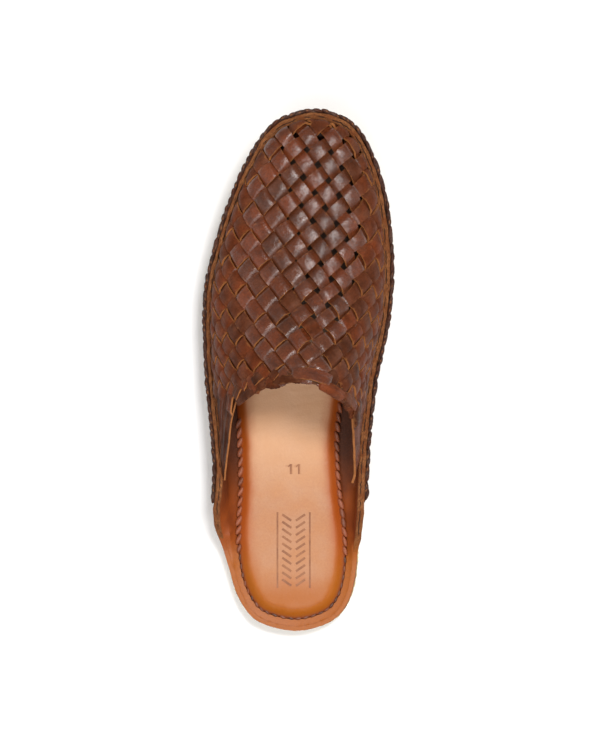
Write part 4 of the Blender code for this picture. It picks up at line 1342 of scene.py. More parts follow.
class BandSection:
    """The band ring by ring: from its foot up the outer face, over the top edge, and down the
    inner face to the ledge under the insole's edge."""

    def __init__(self):
        self.k = band_stations()
        self.x, self.y = EDGE.read(EDGE.points, self.k).T
        self.lean, top, self.inset = (
            EDGE.read(field, self.k) for field in (EDGE.lean, EDGE.top, EDGE.inset))
        self.top = top + 0.35 * self.bumps(51, 9.0) * ease(top, 14.0, 22.0)
        self.wobble = 0.17 * self.bumps(52, 5.0) + 0.15 * self.bumps(56, 2.6)
        self.split = ease(self.top, 15.0, 24.0)     # 0 round the heel, 1 where the band is tall
        self.drop = 0.15 + 0.65 * self.split        # from the top edge down to the lining's
        self.rings, self.kinds, self.painted_shades = [], [], []

    def bumps(self, seed, size, shift=0.0):
        return bumps(self.x, self.y + shift, seed, size)

    def add(self, points, kind, painted_shade=0.0):
        """A ring, with the leather that starts at it and how much painted shade it carries."""
        self.rings.append(points)
        self.kinds.append(np.broadcast_to(kind, self.k.shape))
        self.painted_shades.append(np.broadcast_to(painted_shade, self.k.shape))

    def off_edge(self, offset, height, kind, painted_shade=0.0):
        """A ring that stands off the sole's edge, at a height over its underside."""
        offset = np.broadcast_to(offset, self.k.shape)
        self.add(EDGE.at(self.k, offset, height), kind, painted_shade)

    def foot(self):
        """Raw lower edge, which shows over the midsole."""
        wobble = self.wobble
        self.off_edge(-0.5, BAND_FOOT, RAW)
        for offset, rise in ((-0.3, 0.2), (-0.2, 0.9), (-0.3, 1.55)):
            self.off_edge(offset + wobble, BAND_FOOT + rise, RAW)
        # the suede starts in painted shade, where the lacing loops cover the band
        self.off_edge(-0.75, BAND_FOOT + 1.75, SUEDE, 0.8)

    def outer_face(self):
        """Suede, with painted shade low down along the lacing and in the windows cut for the
        strips.
        """
        for level in BAND_HEIGHTS:
            share = (level - FACE_FOOT) / (FACE_TOP - FACE_FOOT)
            height = np.minimum(level, FACE_FOOT + share * (self.top - FACE_FOOT))
            deep = window_depth(self.k, height)
            stand = 0.18 * self.bumps(53, 7.0, shift=1.3 * level) - deep - 0.15
            # painted shade in the slots where the lacing goes in, and in the windows
            slot_shade = 0.75 * np.exp(-((height - 12.0) / 1.3) ** 2)
            self.add(EDGE.wall(self.k, height, stand), SUEDE, np.maximum(slot_shade, 0.9 * deep))

    def top_edge(self):
        """Raw edge with a lip and an open, glued seam where the band is tall; round the heel
        the lining is turned over it."""
        lean, top, split, wobble = self.lean, self.top, self.split, self.wobble
        whole = 1.0 - split
        seam = split * ease(self.bumps(57, 8.0), -0.45, 0.05)
        wavy = 0.3 * self.bumps(55, 11.0) * split
        lip = lean + (1.35 + wavy) * split
        puckers = 0.22 * self.bumps(58, 3.2) * whole
        raw = np.where(split > 0.15, RAW, LINING)
        groove = np.where(split < 0.15, LINING, np.where(seam > 0.3, GLUE, RAW))
        # a little painted shade just under the top edge's lip
        self.off_edge(lean - 0.2, top - 1.7 * split - 0.35,
                      np.where(split > 0.15, SUEDE, LINING), 0.3)
        for offset, height, kind in (
                (lip - 0.15, top - 0.75 * split - 0.2, raw),
                (lip - 0.05, top - 0.25 * split - 0.1, raw),
                (lip - 0.55 + wobble, top + 0.12 * split, raw),
                (lip - 1.0 - 0.2 * split + wobble, top - 0.05 + 0.5 * wobble * split, raw),
                (lean - 0.5 - 0.8 * whole + wobble, top, raw),
                (lean - 0.75 - 0.75 * whole + wobble, top - 0.9 * seam, groove),
                (lean - 1.0 - 0.7 * whole + wobble, top - 0.9 * seam, groove),
                (lean - 1.2 - 0.7 * whole + wobble, top - 0.15 * split - 0.05, raw),
                (lean - 1.7 - 0.4 * whole + wobble, top - 0.1 + puckers, raw),
                (lean - 2.35 + wobble, top - 0.25 * split - 0.1, raw),
                (lean - 2.55 + 0.5 * wobble, top - self.drop, LINING)):
            self.off_edge(offset, height, kind)

    def inner_face(self):
        """Lining, down to the knee, along the sagging ledge and back to the first ring."""
        lean, top, inset = self.lean, self.top, self.inset
        knee = np.minimum(INNER_KNEE, top - 0.6)
        foot = np.minimum(-GAP, lean) - BAND_WALL - 0.6
        uneven = 0.1 * self.bumps(54, 12.0, shift=BAND_HEIGHTS[-1])
        for share in (0.2, 0.45, 0.7, 0.9):
            offset = (lean - 2.4) * (1 - share) + foot * share
            height = (top - self.drop - 0.2) * (1 - share) + knee * share
            self.off_edge(offset + uneven, height, LINING)
        for share, sag in ((0.0, 0.0), (0.3, 0.5), (0.6, 0.6), (0.85, 0.25), (1.0, 0.0)):
            offset = foot * (1 - share) - inset * share
            height = knee * (1 - share) + BAND_LEDGE * share - sag * (knee - BAND_LEDGE) * 0.15
            self.off_edge(offset, height, LINING)
        self.off_edge(-inset, BAND_FOOT, LINING)
        self.add(self.rings[0], LINING)

    def mesh(self):
        """The rings drawn into one shell, with the notes that its leathers read."""
        for part in (self.foot, self.outer_face, self.top_edge, self.inner_face):
            part()
        rings = np.stack(self.rings)
        rows = np.linalg.norm(np.diff(rings, axis=0), axis=2)
        lay = np.concatenate((np.zeros((1, len(self.k))), np.cumsum(rows, axis=0))) * MM
        return loft("suede_band", rings, {
            "kind": np.stack(self.kinds).astype(float),
            "painted_shade": np.stack(self.painted_shades),
            "heel": ease(-rings[..., 1], 92.0, 112.0),
            # painted shade on the lining, darker towards the vamp
            "front": 0.85 * ease(rings[..., 1], -92.0, -40.0),
            "run": np.broadcast_to(self.k * EDGE.step * MM / STREAK, lay.shape),
            "lay": lay})


class SLIPPER_OT_band(Operator):
    """Make the suede band that stands round the shoe, with its windows and raw edges"""

    bl_idname = "slipper.band"
    bl_label = "Side band"

    def execute(self, context):
        piece = BandSection().mesh()
        paint(piece, "kind", lambda least: int(least + 0.01))
        merge(piece)
        soften(piece, 45)
        glue = linear("#2a1a12")
        finish(piece, "side_band", brushed_suede(), frayed_band_edge(),
               plain_leather("glue_line", glue, glue, 0.8), smooth_lining())
        return {"FINISHED"}


# -------- strip ends
END_HALF = 3.35             # half the width of a strip's end in its window
END_STOP = 7.0              # the ends run up to this far under the band's top edge
RED_ENDS_Y = (-61.0, -8.0)  # the ends nearest to these are of a redder strip


class SLIPPER_OT_strip_ends(Operator):
    """Draw the vamp's strips through the band's windows"""

    bl_idname = "slipper.strip_ends"
    bl_label = "Strip ends in the windows"

    def execute(self, context):
        rng = np.random.default_rng(sizes().seed + 2)
        ends = []
        for first, length, count in window_runs():
            for n in range(count):
                middle = first + (n + 0.5) * length
                y = float(EDGE.read(EDGE.points, middle)[1])
                half = END_HALF * rng.uniform(0.95, 1.02) / EDGE.step
                tone = np.clip(rng.normal(0.35, 0.18), 0, 1)
                if any(abs(y - red) < 5.0 for red in RED_ENDS_Y):
                    tone = 1.0
                tilt = rng.normal(0.0, 0.25)
                high = float(EDGE.read(EDGE.top, middle)) - END_STOP
                low = WINDOW_FOOT + rng.uniform(0.0, 0.3)

                def spot(u, v, middle=middle, half=half, high=high, low=low, tilt=tilt):
                    side = 1.0 - 2.0 * v
                    height = low + u * (high - low)
                    sink = -0.9 * np.clip(1 - u / 0.12, 0, 1) ** 1.5 - 0.25 * side**2
                    bulge = 0.35 * np.sin(np.pi * u)
                    return EDGE.wall(middle + half * side, height,
                                     0.15 + sink + bulge + tilt * 0.3 * side)

                ends.append(sheet("end", 9, 6, spot, (9.0, 2 * END_HALF),
                                  lambda u, v, tone=tone: {"tone": tone, "rim": abs(2 * v - 1)}))
        piece = thicken(join(ends, "strip_ends"), 0.0009, 0.00015, slots=3)
        soften(piece, 40)
        finish(piece, "side_band", *strip_leathers()[3:])
        return {"FINISHED"}


# -------- plait
CORE_FOOT = 9.4             # the plait's hidden core starts this far under the band's top edge
CORE_TALL = 8.0


def strand_unit(middle, side, tone, drop, long, tall, deep, stand, slope, taper):
    """One visible turn of the plait's strand, lying against the band: its middle is a drop
    under the band's top edge, and it slopes down and thins out towards the heel."""
    top = float(EDGE.read(EDGE.top, middle))
    cut = {}

    def spot(ball):
        x, y, z = ball.T                    # x to the heel, y out of the band, z up
        cut["rim"] = 0.4 * ease(z, 0.75, 0.98) * (y > -0.2) * (np.sin(4 * x + 19 * tone) > 0.8)
        slim = 1.0 - taper * ease(x, -0.1, 1.0)
        crease = 1.0 + 0.07 * np.cos(3 * np.arctan2(z, y) + 2.5 * x)
        height = top - drop - slope * x + 0.5 * tall * z * slim * crease
        out = stand + 0.5 * deep * y * slim * crease - 0.55 * x
        return EDGE.wall(middle - side * x * 0.5 * long / EDGE.step, height, out)

    piece = blob("turn", spot, 14, 10, {"tone": tone})
    note(piece, "rim", cut["rim"])
    return piece


class SLIPPER_OT_plait(Operator):
    """Lay the plaited strand over the seam between band and vamp"""

    bl_idname = "slipper.plait"
    bl_label = "Plait"

    def execute(self, context):
        rng = np.random.default_rng(sizes().seed + 3)
        first, length, count = EDGE.units(PLAIT_END_Y, PLAIT_PITCH)
        turns = []
        for n in range(count):
            k = first + (n + 0.5) * length
            side = 1.0 if n < count / 2 else -1.0
            tones = rng.uniform(0.0, 0.55, 2)
            jitter = rng.normal(0, 1.0, 8)
            turns.append(strand_unit(
                k + 0.25 * jitter[4], side, tones[0], drop=2.9 + 0.2 * jitter[0],
                long=13.2 + 0.5 * jitter[1], tall=4.9 + 0.3 * jitter[5],
                deep=2.9 + 0.2 * jitter[6], stand=2.2 + 0.14 * jitter[2],
                slope=1.35 + 0.2 * jitter[7], taper=0.4))
            turns.append(strand_unit(
                k + 0.42 * length + 0.2 * jitter[5], side, tones[1],
                drop=7.4 + 0.2 * jitter[3], long=9.9 + 0.4 * jitter[6], tall=6.2, deep=3.0,
                stand=1.75, slope=0.6 + 0.3 * jitter[1], taper=0.35))
            for part in (-0.2, 0.3):
                loose = rng.normal(0, 1.0, 4)
                turns.append(strand_unit(
                    k + (part + 0.04 * loose[0]) * length, side, rng.uniform(0.0, 0.6),
                    drop=0.9 + 0.2 * loose[1], long=6.6 + 0.6 * loose[2], tall=2.3, deep=2.2,
                    stand=2.5 + 0.16 * loose[3], slope=0.7, taper=0.3))

        def core(u, v):
            k = first + u * length * count
            drop = CORE_FOOT - CORE_TALL * v
            top = EDGE.read(EDGE.top, k)
            return EDGE.wall(k, top - drop, 0.75 + 1.0 * np.sin(np.pi * v))

        turns.append(sheet("core", count * 6, 6, core, (count * PLAIT_PITCH, CORE_TALL),
                           lambda u, v: {"tone": 0.1, "rim": 0.0}))
        piece = join(turns, "plaited_strand")
        soften(piece, 60)
        finish(piece, "edge_braid", plait_leather())
        return {"FINISHED"}


# -------- lacing
RUNNING_FOOT = 9.25
RUNNING_WIDE = 1.6


def loop_path(low, high):
    """A loop's way from the band's ledge over the sole's edge and in again: (out, height)."""
    return np.array(((-0.9, high), (0.35, high + 0.15), (1.35, high - 0.35), (1.85, high - 1.4),
                     (1.9, 0.5 * (low + high)), (1.85, low + 1.2), (1.35, low + 0.3), (0.4, low),
                     (-0.3, low + 0.05)))


class SLIPPER_OT_lacing(Operator):
    """Bind the sole with loops of strip over a running strip"""

    bl_idname = "slipper.lacing"
    bl_label = "Lacing loops"

    def execute(self, context):
        rng = np.random.default_rng(sizes().seed + 4)
        first, length, count = EDGE.units(LACE_END_Y, LACE_PITCH)
        loops = []
        for n in range(count):
            middle = first + (n + 0.5) * length + rng.normal(0, 0.35)
            side = 1.0 if n < count / 2 else -1.0
            y = float(EDGE.read(EDGE.points, middle)[1])
            front = min(max((y - 25.0) / 40.0, 0.0), 1.0)      # the loops are higher at the toe
            low = 4.8 + 2.9 * front + rng.normal(0, 0.2)
            high = 11.4 + 3.8 * front + rng.normal(0, 0.2)
            half = 0.5 * rng.uniform(5.9, 7.3) / EDGE.step
            lean = rng.uniform(0.03, 0.16) / EDGE.step * side
            tone = np.clip(rng.normal(0.45, 0.25), 0, 1)
            path = loop_path(low, high)
            reach = reach_along(path) / reach_along(path)[-1]

            def spot(u, v, path=path, reach=reach, middle=middle, half=half, lean=lean):
                turn = 2.0 * v - 1.0
                out = np.interp(u, reach, path[:, 0]) - 0.3 * turn**2
                height = np.interp(u, reach, path[:, 1])
                k = middle + half * turn - lean * (path[0, 1] - height)
                return EDGE.at(k, out, height)

            loops.append(sheet("loop", 12, 6, spot, (11.0, 6.6),
                               lambda u, v, tone=tone: {"tone": tone, "rim": abs(2 * v - 1)}))
        piece = thicken(join(loops, "lacing_loops"), 0.001, 0.0002, slots=3)
        soften(piece, 40)
        finish(piece, "welt_lacing", *strip_leathers()[3:])

        def run(u, v):
            along = u * count
            part = along - np.floor(along)
            between = ease(np.abs(part - 0.5), 0.25, 0.42)
            out = 0.55 + 0.65 * between - 0.5 * (v - 0.5) ** 2
            height = RUNNING_FOOT + RUNNING_WIDE * v + 0.1 * np.sin(along * 2.1)
            return EDGE.at(first + along * length, out, height)

        strip = sheet("running_strip", count * 8, 3, run, (count * LACE_PITCH, RUNNING_WIDE))
        merge(thicken(strip, 0.0006, 0.0, under=0, edge=0, slots=1))
        soften(strip, 50)
        finish(strip, "welt_lacing", plain_leather(
            "running_strip_leather", linear("#c0722f"), linear("#8a451c"), 0.55))
        return {"FINISHED"}


# -------- the weave
RUBBED = 3                  # first material slot of the rubbed leather
STEPS_A_CELL = 12           # points along a strip for each strip it crosses
STEPS_ACROSS = 6
HALF_WAY = (-0.42, -0.12)   # a strip's height between two crossings, in its rises: tight, loose
WEAVE_COUNT = range(-14, 34)            # numbers of the strips, and of the crossings along them
TUCK = 7.5                  # how far a strip runs past the throat's edge, over and in
HEM = 7.0                   # how far a strip runs down inside the band
OUTER_END_T = -19.0         # behind here the outer side has strap strips, unwoven
INNER_END_T = -27.0
STRAP_TOP = 4               # highest inner strip that runs on as a strap
STRAP_CELL = 14.25          # the strips above it stop here
BED = 0.45                  # added to a strip's height, so that it clears what it covers
CAMBER = 0.36               # a strip's edges lie this much lower than its middle
RIM_SINK = 1.6              # how far a strip sinks where it goes inside the band
END_SINK = 1.5              # and at its own ends


def openness(s, t):
    """How loosely the strips lie: 0 down the sides to 1 over the toes."""
    middle = np.interp(t, (20.0, 50.0, 85.0, 110.0), (8.0, 12.0, 14.0, 7.0))
    spread = np.interp(t, (10.0, 60.0, 130.0), (20.0, 24.0, 34.0))
    open_here = np.clip(1.0 - ((s - middle) / spread) ** 2, 0.0, 1.0)
    return (open_here * ease(t, 2.0, 30.0)) ** 0.7


def gap_between(s, t):
    """Width of the slot between neighbouring strips, in mm."""
    size = sizes()
    return in_mm(size.close_gap) + openness(s, t) * in_mm(size.open_gap - size.close_gap)


def bound(s, t):
    """How far a place lies under the strips that bind the throat's edge, 0 to 1."""
    along = ease(s, -18.0, -8.0) * ease(30.0 - s, 0.0, 8.0)
    return along * ease(9.0 - LAST.read(LAST.distance, s, t), 0.0, 4.0)


def unwoven(s, t):
    """How far behind the weave a place is, 0 in the weave to 1 among the strap strips."""
    return ease(-t, -INNER_END_T - 3.0 - 0.25 * (s - 50.0), -INNER_END_T + 4.0) * (s > 38.0)


def strips_of(family):
    """Each strip's number and its stretches that are wanted, as (number, first, last)."""
    ahead, across = (STRIP_A, STRIP_B) if family == "A" else (STRIP_B, STRIP_A)
    found = []
    for n in WEAVE_COUNT:
        u = np.arange(WEAVE_COUNT.start, WEAVE_COUNT.stop, 1.0 / STEPS_A_CELL)
        s, t = (WEAVE_START + u[:, None] * ahead + (n + 0.5) * across).T
        wanted = (np.abs(s) < 106.0) & (t > -84.0) & (t < 174.0)
        wanted &= LAST.read(LAST.inside, s, t) > np.where(t < INNER_END_T, -2.5, -HEM)
        wanted &= LAST.read(LAST.distance, s, t) > -TUCK
        if family == "A":
            wanted &= ~((s < -40.0) & (t < OUTER_END_T - 3.0))
            if n > STRAP_TOP:
                wanted &= ~((u > STRAP_CELL) & (s > 30.0))
        else:
            wanted &= ~((s < -44.0) & (t < OUTER_END_T - 0.12 * (s + 60.0)))
            wanted &= ~((s > 38.0) & (t < INNER_END_T - 0.2 * (s - 60.0)))
        edges = np.flatnonzero(np.diff(np.concatenate(([0], wanted.astype(int), [0]))))
        for first, last in zip(edges[::2], edges[1::2]):
            if last - first > 0.7 * STEPS_A_CELL:
                found.append((n, u[first], u[last - 1]))
    return found


def swing(u, turn, loose):
    """Height of a strip that passes over and under: it is low already where others start."""
    wave = turn * np.sin(np.pi * u)
    full = 1.0 - (1.0 - np.abs(wave)) ** 2.6
    low = HALF_WAY[0] + (HALF_WAY[1] - HALF_WAY[0]) * loose
    return low + np.where(wave > 0, (1.0 - low) * full, -(1.0 + low) * full)


def woven_strip(family, n, first, last):
    """One strip of the weave as a single sheet."""
    ahead, across = (STRIP_A, STRIP_B) if family == "A" else (STRIP_B, STRIP_A)
    turn = (1.0 if n % 2 == 0 else -1.0) * (1.0 if family == "A" else -1.0)
    pitch = abs(STRIP_A[0] * STRIP_B[1] - STRIP_A[1] * STRIP_B[0]) / np.linalg.norm(ahead)
    rng = np.random.default_rng((sizes().seed, n + 100, ord(family), int(10 * (first + 50))))
    middles = np.arange(math.floor(first) - 1, math.ceil(last) + 2) + 0.5
    rolls = rng.normal(0.0, 0.16, len(middles))
    tones = rng.normal(0.0, 0.13, len(middles))
    domes = np.clip(rng.normal(0.25, 0.16, len(middles)), 0.0, 0.7)
    own_tone = rng.normal(0.50, 0.09)
    own_width = rng.normal(0.0, 0.15)
    phases = rng.uniform(0, 2 * np.pi, 3)
    rise = in_mm(sizes().strip_rise)

    def flat(u, v):
        """Along the strip, how loose it is there, and flat places; the A strips run mirrored."""
        v = 1.0 - v if family == "A" else v
        along = first + u * (last - first)
        s, t = (WEAVE_START + along[:, None] * ahead + (n + 0.5) * across).T
        width = (pitch - gap_between(s, t) + own_width) / pitch
        free = unwoven(s, t) if family == "A" else 0.0
        width = width * (1 + 0.13 * free) * (1 + 0.04 * turn * np.sin(np.pi * along) * (1 - free))
        wander = 0.022 * np.sin(along * 1.1 + phases[0]) + 0.012 * np.sin(along * 2.9 + phases[1])
        place = n + 0.5 + (v - 0.5) * width + wander
        return along, free, WEAVE_START + along[:, None] * ahead + place[:, None] * across

    def spot(u, v):
        along, free, place = flat(u, v)
        s, t = place.T
        side = (1.0 - 2.0 * v) if family == "A" else (2.0 * v - 1.0)
        under = bound(s, t)
        lift = swing(along, turn, openness(s, t)) * rise * (1 - free) * (1 - 0.6 * under)
        lift = lift - 1.1 * under
        lift = lift - RIM_SINK * ease(6.0 - LAST.read(LAST.inside, s, t), 0.0, 6.0)
        lift = lift + np.interp(along, middles, rolls) * side
        dome = np.interp(along, middles, domes) * np.abs(np.sin(np.pi * along))
        lift = lift - CAMBER * side**2 + dome * (1 - 0.4 * side**2)
        lift = lift - free * (0.35 + 0.75 * side)
        to_end = np.minimum(along - first, last - along)
        lift = lift - END_SINK * (1 - ease(to_end, 0.0, 0.55)) * (1 - free)
        lift = lift + 0.07 * bumps(s, t, 103 + n, 6.0)
        return LAST.over(s, t, lift + BED)

    def notes(u, v):
        along, _, place = flat(u, v)
        s, t = place.T
        tone = own_tone + np.interp(along, middles, tones) + 0.1 * bumps(s, t, 5, 40.0)
        tone = tone + 0.22 * ease(np.abs(s - 8.0), 20.0, 50.0) - 0.08
        middle_of = np.floor(along) + 0.5           # glossy or rubbed, one crossing at a time
        s, t = (WEAVE_START + middle_of[:, None] * ahead + (n + 0.5) * across).T
        level = LAST.read(LAST.normals, s, t)[:, 2]
        level = level - 0.35 * np.interp(middle_of, middles, rolls)
        return {"tone": np.clip(tone, 0.0, 1.0), "rim": np.abs(2 * v - 1),
                "rubbed": level < 0.80}

    steps = max(int((last - first) * STEPS_A_CELL), 3)
    length = (last - first) * np.linalg.norm(ahead)
    return sheet("strip", steps, STEPS_ACROSS, spot, (length, pitch), notes)


def beside(line, reach, offset):
    """Places an offset to the left of a flat line, a reach along it: (s, t)."""
    at = reach_along(line)
    along = unit(np.gradient(line, axis=0))
    place = np.stack([np.interp(reach, at, line[:, n]) for n in (0, 1)], axis=-1)
    heading = np.stack([np.interp(reach, at, along[:, n]) for n in (0, 1)], axis=-1)
    left = np.stack((-heading[..., 1], heading[..., 0]), axis=-1)
    s, t = (place + left * np.asarray(offset)[..., None]).T
    return s, t


def loose_strip(line, begin, end, offset, width, lift, tone, folds=0.0, tip=0.0, glossy=False):
    """A strip lying along a line of the last; lift(u, side) is its height."""
    size = (abs(end - begin), width)

    def spot(u, v):
        side = 2.0 * v - 1.0
        narrow = 1.0 - tip * np.abs(2.0 * u - 1.0) ** 6
        s, t = beside(line, begin + u * (end - begin), offset + 0.5 * width * side * narrow)
        creases = folds * (np.sin(7.0 * side + 1.3 * np.sin(3.0 * u)) + 0.5 * np.sin(13 * side))
        return LAST.over(s, t, lift(u, side) + creases + 0.05 * bumps(s, t, 61, 5.0))

    def notes(u, v):
        return {"tone": np.clip(tone + 0.12 * np.sin(5 * u + 9 * tone), 0, 1),
                "rim": np.abs(2 * v - 1), "rubbed": 0.0 if glossy else 1.0}

    return sheet("strip", max(int(size[0] / 0.9), 6), 12 if folds else 6, spot, size, notes)


def leather_strips(strips, name, share=1.0):
    """Strips joined into one piece of the vamp, each with its glossy or rubbed leather; their
    thickness is a share of the woven strips'."""
    piece = join(strips, name)
    paint(piece, "rubbed", lambda least: RUBBED * int(least > 0.5))
    thicken(piece, share * sizes().strip_thickness)
    soften(piece, 40)
    return finish(piece, "vamp", *strip_leathers())


# The outer strap's strips: each runs back beside the strap's line, from its begin along it.
STRAP_STRIPS = (
    # offset width base  tone  begin
    (-28.0, 8.4, -0.45, 0.30, 0.0),
    (-20.5, 7.6, -0.15, 0.10, 0.0),
    (-12.9, 7.0, 0.20, 0.42, 1.0),
    (-4.6, 9.0, 0.45, 0.15, 2.0),
)
STRAP_SAMPLES = 80


class SLIPPER_OT_straps(Operator):
    """Lay the unwoven strips of the outer strap, which run back inside the band"""

    bl_idname = "slipper.straps"
    bl_label = "Outer strap"

    def execute(self, context):
        line = spaced(through(OUTER_STRAP_LINE, closed=False), 200)
        end = reach_along(line)[-1] - 8.0
        strips = []
        for offset, width, base, tone, begin in STRAP_STRIPS:
            down = np.linspace(begin, end, STRAP_SAMPLES)
            deep = LAST.read(LAST.inside, *beside(line, down, np.full(STRAP_SAMPLES, offset)))
            shown = deep > -2.0
            stop = down[-1] if shown.all() else down[max(int(np.argmin(shown)), 12)]

            def lift(u, side, base=base):
                tuck = -1.6 * (1 - ease(u, 0.0, 0.12))
                return base + tuck - 0.85 * side - 0.45 * side**2

            strips.append(loose_strip(line, begin, stop, offset, width, lift, tone, folds=0.24))
        leather_strips(strips, "outer_strap", 0.75)
        return {"FINISHED"}


# Strips that run along the throat's edge, from a place s along it.
THROAT_STRIPS = (
    # s     long  off   width high tone glossy
    (-55.0, 34.0, 0.4, 4.4, 1.3, 0.30, False),
    (-30.0, 27.0, 0.8, 4.0, 1.5, 0.20, False),
    (-11.0, 24.0, 3.6, 7.4, 1.7, 0.55, True),
    (5.0, 23.0, -0.2, 5.6, 1.1, 1.0, False),
    (23.0, 22.0, 1.3, 4.4, 1.7, 0.55, False),
    (42.0, 13.0, 1.4, 6.0, 2.0, 0.2, False),
)
# Ends bunched over it, each with its own heading in the flat weave.
THROAT_ENDS = (
    # s     off  heading         long  wide high tone
    (-58.0, 4.5, (-0.42, -0.91), 14.0, 5.8, 1.9, 0.45),
    (-49.0, 4.5, (-0.66, -0.75), 12.0, 5.0, 2.2, 0.20),
    (-41.0, 5.5, (-0.50, -0.87), 10.0, 4.4, 2.2, 0.50),
    (-31.0, 4.0, (-0.80, -0.60), 12.0, 5.4, 2.3, 0.12),
    (-20.0, 3.5, (-0.62, -0.78), 9.0, 4.6, 2.1, 0.35),
    (45.0, 5.0, (0.30, -0.95), 10.0, 5.6, 2.3, 0.25),
)


class SLIPPER_OT_throat(Operator):
    """Lay the strips that run along the throat's edge, and the ends bunched over it"""

    bl_idname = "slipper.throat"
    bl_label = "Throat's edge"

    def execute(self, context):
        rng = np.random.default_rng(sizes().seed + 6)
        throat = LAST.throat
        reach = reach_along(throat)
        strips = []
        for place, long, offset, width, high, tone, glossy in THROAT_STRIPS:
            first = float(np.interp(place, throat[:, 0], reach))

            def lift(u, side, high=high):
                return high + 0.2 * np.sin(np.pi * u) - 0.2 * side**2 \
                    - 2.0 * ease(np.abs(2 * u - 1), 0.8, 1.0)

            strips.append(loose_strip(throat, first, first + long, offset, width, lift, tone,
                                      folds=0.07, tip=0.45, glossy=glossy))
        for place, offset, heading, long, wide, high, tone in THROAT_ENDS:
            at = float(np.interp(place, throat[:, 0], reach))
            middle = np.array(beside(throat, at, offset)).ravel()
            heading = unit(np.array(heading) + rng.normal(0, 0.05, 2))
            ends = np.array([middle - heading * long / 2, middle, middle + heading * long / 2])

            def lift(u, side, high=high):
                return high - 0.2 * side**2 - 1.8 * ease(np.abs(2 * u - 1), 0.55, 1.0)

            strips.append(loose_strip(spaced(ends, 12), 0.0, long, 0.0, wide, lift, tone,
                                      folds=0.08, tip=0.3))
        leather_strips(strips, "throat_strips", 0.75)
        return {"FINISHED"}


class SLIPPER_OT_weave(Operator):
    """Weave the vamp from two families of strips, one over and one under"""

    bl_idname = "slipper.weave"
    bl_label = "Woven vamp"

    def execute(self, context):
        for family, name in (("A", "strips_to_inner_side"), ("B", "strips_to_outer_side")):
            strips = [woven_strip(family, *strip) for strip in strips_of(family)]
            leather_strips(strips, name)
        return {"FINISHED"}


# -------- the stage
FLOOR_Z = -0.0005           # m: a hair under the crepe, so that the two share no plane
CAMERA_HEIGHT = 1500.0      # mm over the floor
CAMERA_SIDE = 66.7          # the camera stands over a point beside the shoe's inner side
FRAME_HEIGHT = 439.4        # mm of floor that the picture's height takes in
SENSOR = 36.0


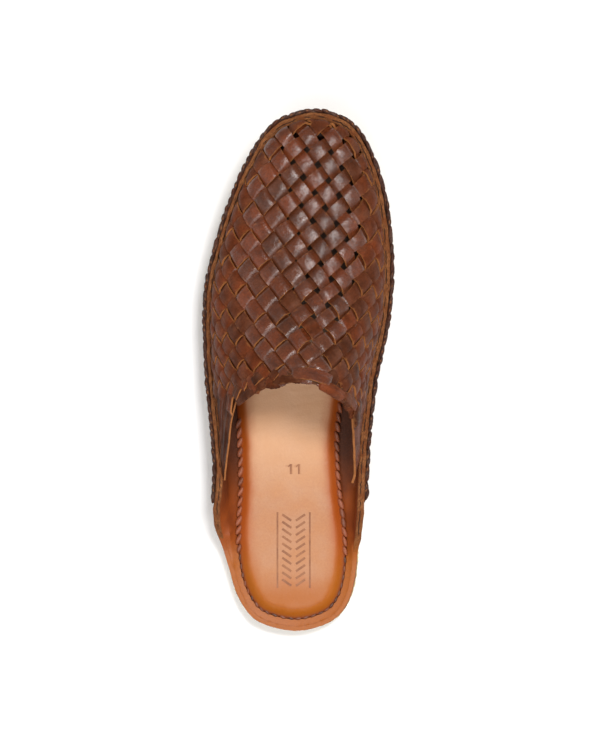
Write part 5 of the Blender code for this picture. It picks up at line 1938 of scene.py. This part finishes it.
class SLIPPER_OT_stage(Operator):
    """Set the pale floor, the soft lights and the camera over the shoe"""

    bl_idname = "slipper.stage"
    bl_label = "Floor, lights and camera"

    def execute(self, context):
        scene = context.scene
        scene.view_settings.view_transform = "Standard"
        floor = primitive("studio_floor", bpy.ops.mesh.primitive_plane_add, size=6.0,
                          location=(0.0, 0.0, FLOOR_Z))
        floor.data.transform(floor.matrix_world)
        floor.matrix_world.identity()
        floor.location = (0.0, 0.0, 0.0)
        material, tree, shader, where, _ = new_material("matt_studio_paper", 0.95)
        fibres = add_node(tree, NOISE, {"Scale": per_metre(400.0)}, {"Vector": where})
        paper = stain(tree, linear("#fcfcfc"), linear("#fefefe"), fibres, 0.3, 0.7)
        tree.links.new(paper, shader.inputs["Base Color"])
        floor.data.materials.append(material)
        world = bpy.data.worlds.new("soft_studio")
        world.use_nodes = True
        background = world.node_tree.nodes["Background"]
        background.inputs["Color"].default_value = (1.0, 0.985, 0.965, 1.0)
        background.inputs["Strength"].default_value = 0.26
        scene.world = world
        lights = (
            # name      size  energy  place                look at
            ("toe_box", 0.30, 14.0, (0.28, 0.38, 1.42), (0.0, 0.06, 0.03)),
            ("heel_box", 0.90, 11.0, (-0.05, -0.55, 1.38), (0.0, -0.03, 0.03)),
            ("inner_box", 0.80, 2.4, (1.25, 0.10, 0.90), (0.0, 0.0, 0.03)),
            ("outer_box", 0.80, 1.8, (-1.25, 0.10, 0.90), (0.0, 0.0, 0.03)),
        )
        for name, size, energy, place, target in lights:
            light = bpy.data.lights.new(name, "AREA")
            light.shape, light.size, light.energy = "SQUARE", size, energy
            lamp = bpy.data.objects.new(name, light)
            scene.collection.objects.link(lamp)
            aim(lamp, place, target)
        camera = bpy.data.cameras.new("camera")
        camera.sensor_fit, camera.sensor_height = "VERTICAL", SENSOR
        camera.lens = SENSOR * CAMERA_HEIGHT / FRAME_HEIGHT
        camera.clip_end = 20.0
        holder = bpy.data.objects.new("camera", camera)
        scene.collection.objects.link(holder)
        place = (CAMERA_SIDE * MM, 0.001, CAMERA_HEIGHT * MM)
        aim(holder, place, (0.0005, -0.0007, 0.02))
        scene.camera = holder
        return {"FINISHED"}


def aim(thing, place, target):
    """Stand a lamp or camera at a place, looking at a target, with the toe side up."""
    back = unit(np.array(place) - np.array(target))
    right = unit(np.cross((0.0, 1.0, 0.0), back))
    up = np.cross(back, right)
    matrix = np.eye(4)
    matrix[:3, 0], matrix[:3, 1], matrix[:3, 2], matrix[:3, 3] = right, up, back, place
    thing.matrix_world = Matrix(matrix.tolist())


# -------- panel and registration
PIECES = (
    SLIPPER_OT_sole,
    SLIPPER_OT_insole,
    SLIPPER_OT_stitches,
    SLIPPER_OT_band,
    SLIPPER_OT_strip_ends,
    SLIPPER_OT_weave,
    SLIPPER_OT_straps,
    SLIPPER_OT_throat,
    SLIPPER_OT_plait,
    SLIPPER_OT_lacing,
)


class SLIPPER_PT_panel(Panel):
    """The slipper's pieces, in the order that they are made"""

    bl_idname = "SLIPPER_PT_panel"
    bl_label = "Woven slipper"
    bl_space_type = "VIEW_3D"
    bl_region_type = "UI"
    bl_category = "Slipper"

    def draw(self, context):
        column = self.layout.column()
        for group in (context.scene.slipper_sizes, context.scene.slipper_colours):
            for key in group.__annotations__:
                column.prop(group, key)
        for operator in (*PIECES, SLIPPER_OT_stage):
            column.operator(operator.bl_idname)


CLASSES = (SlipperSizes, SlipperColours, *PIECES, SLIPPER_OT_stage, SLIPPER_PT_panel)


def register():
    for item in CLASSES:
        bpy.utils.register_class(item)
    bpy.types.Scene.slipper_sizes = PointerProperty(type=SlipperSizes)
    bpy.types.Scene.slipper_colours = PointerProperty(type=SlipperColours)


def unregister():
    del bpy.types.Scene.slipper_colours
    del bpy.types.Scene.slipper_sizes
    for item in reversed(CLASSES):
        bpy.utils.unregister_class(item)


def main():
    register()
    for operator in (*PIECES, SLIPPER_OT_stage):
        group, name = operator.bl_idname.split(".")
        getattr(getattr(bpy.ops, group), name)()


if __name__ == "__main__":
    main()
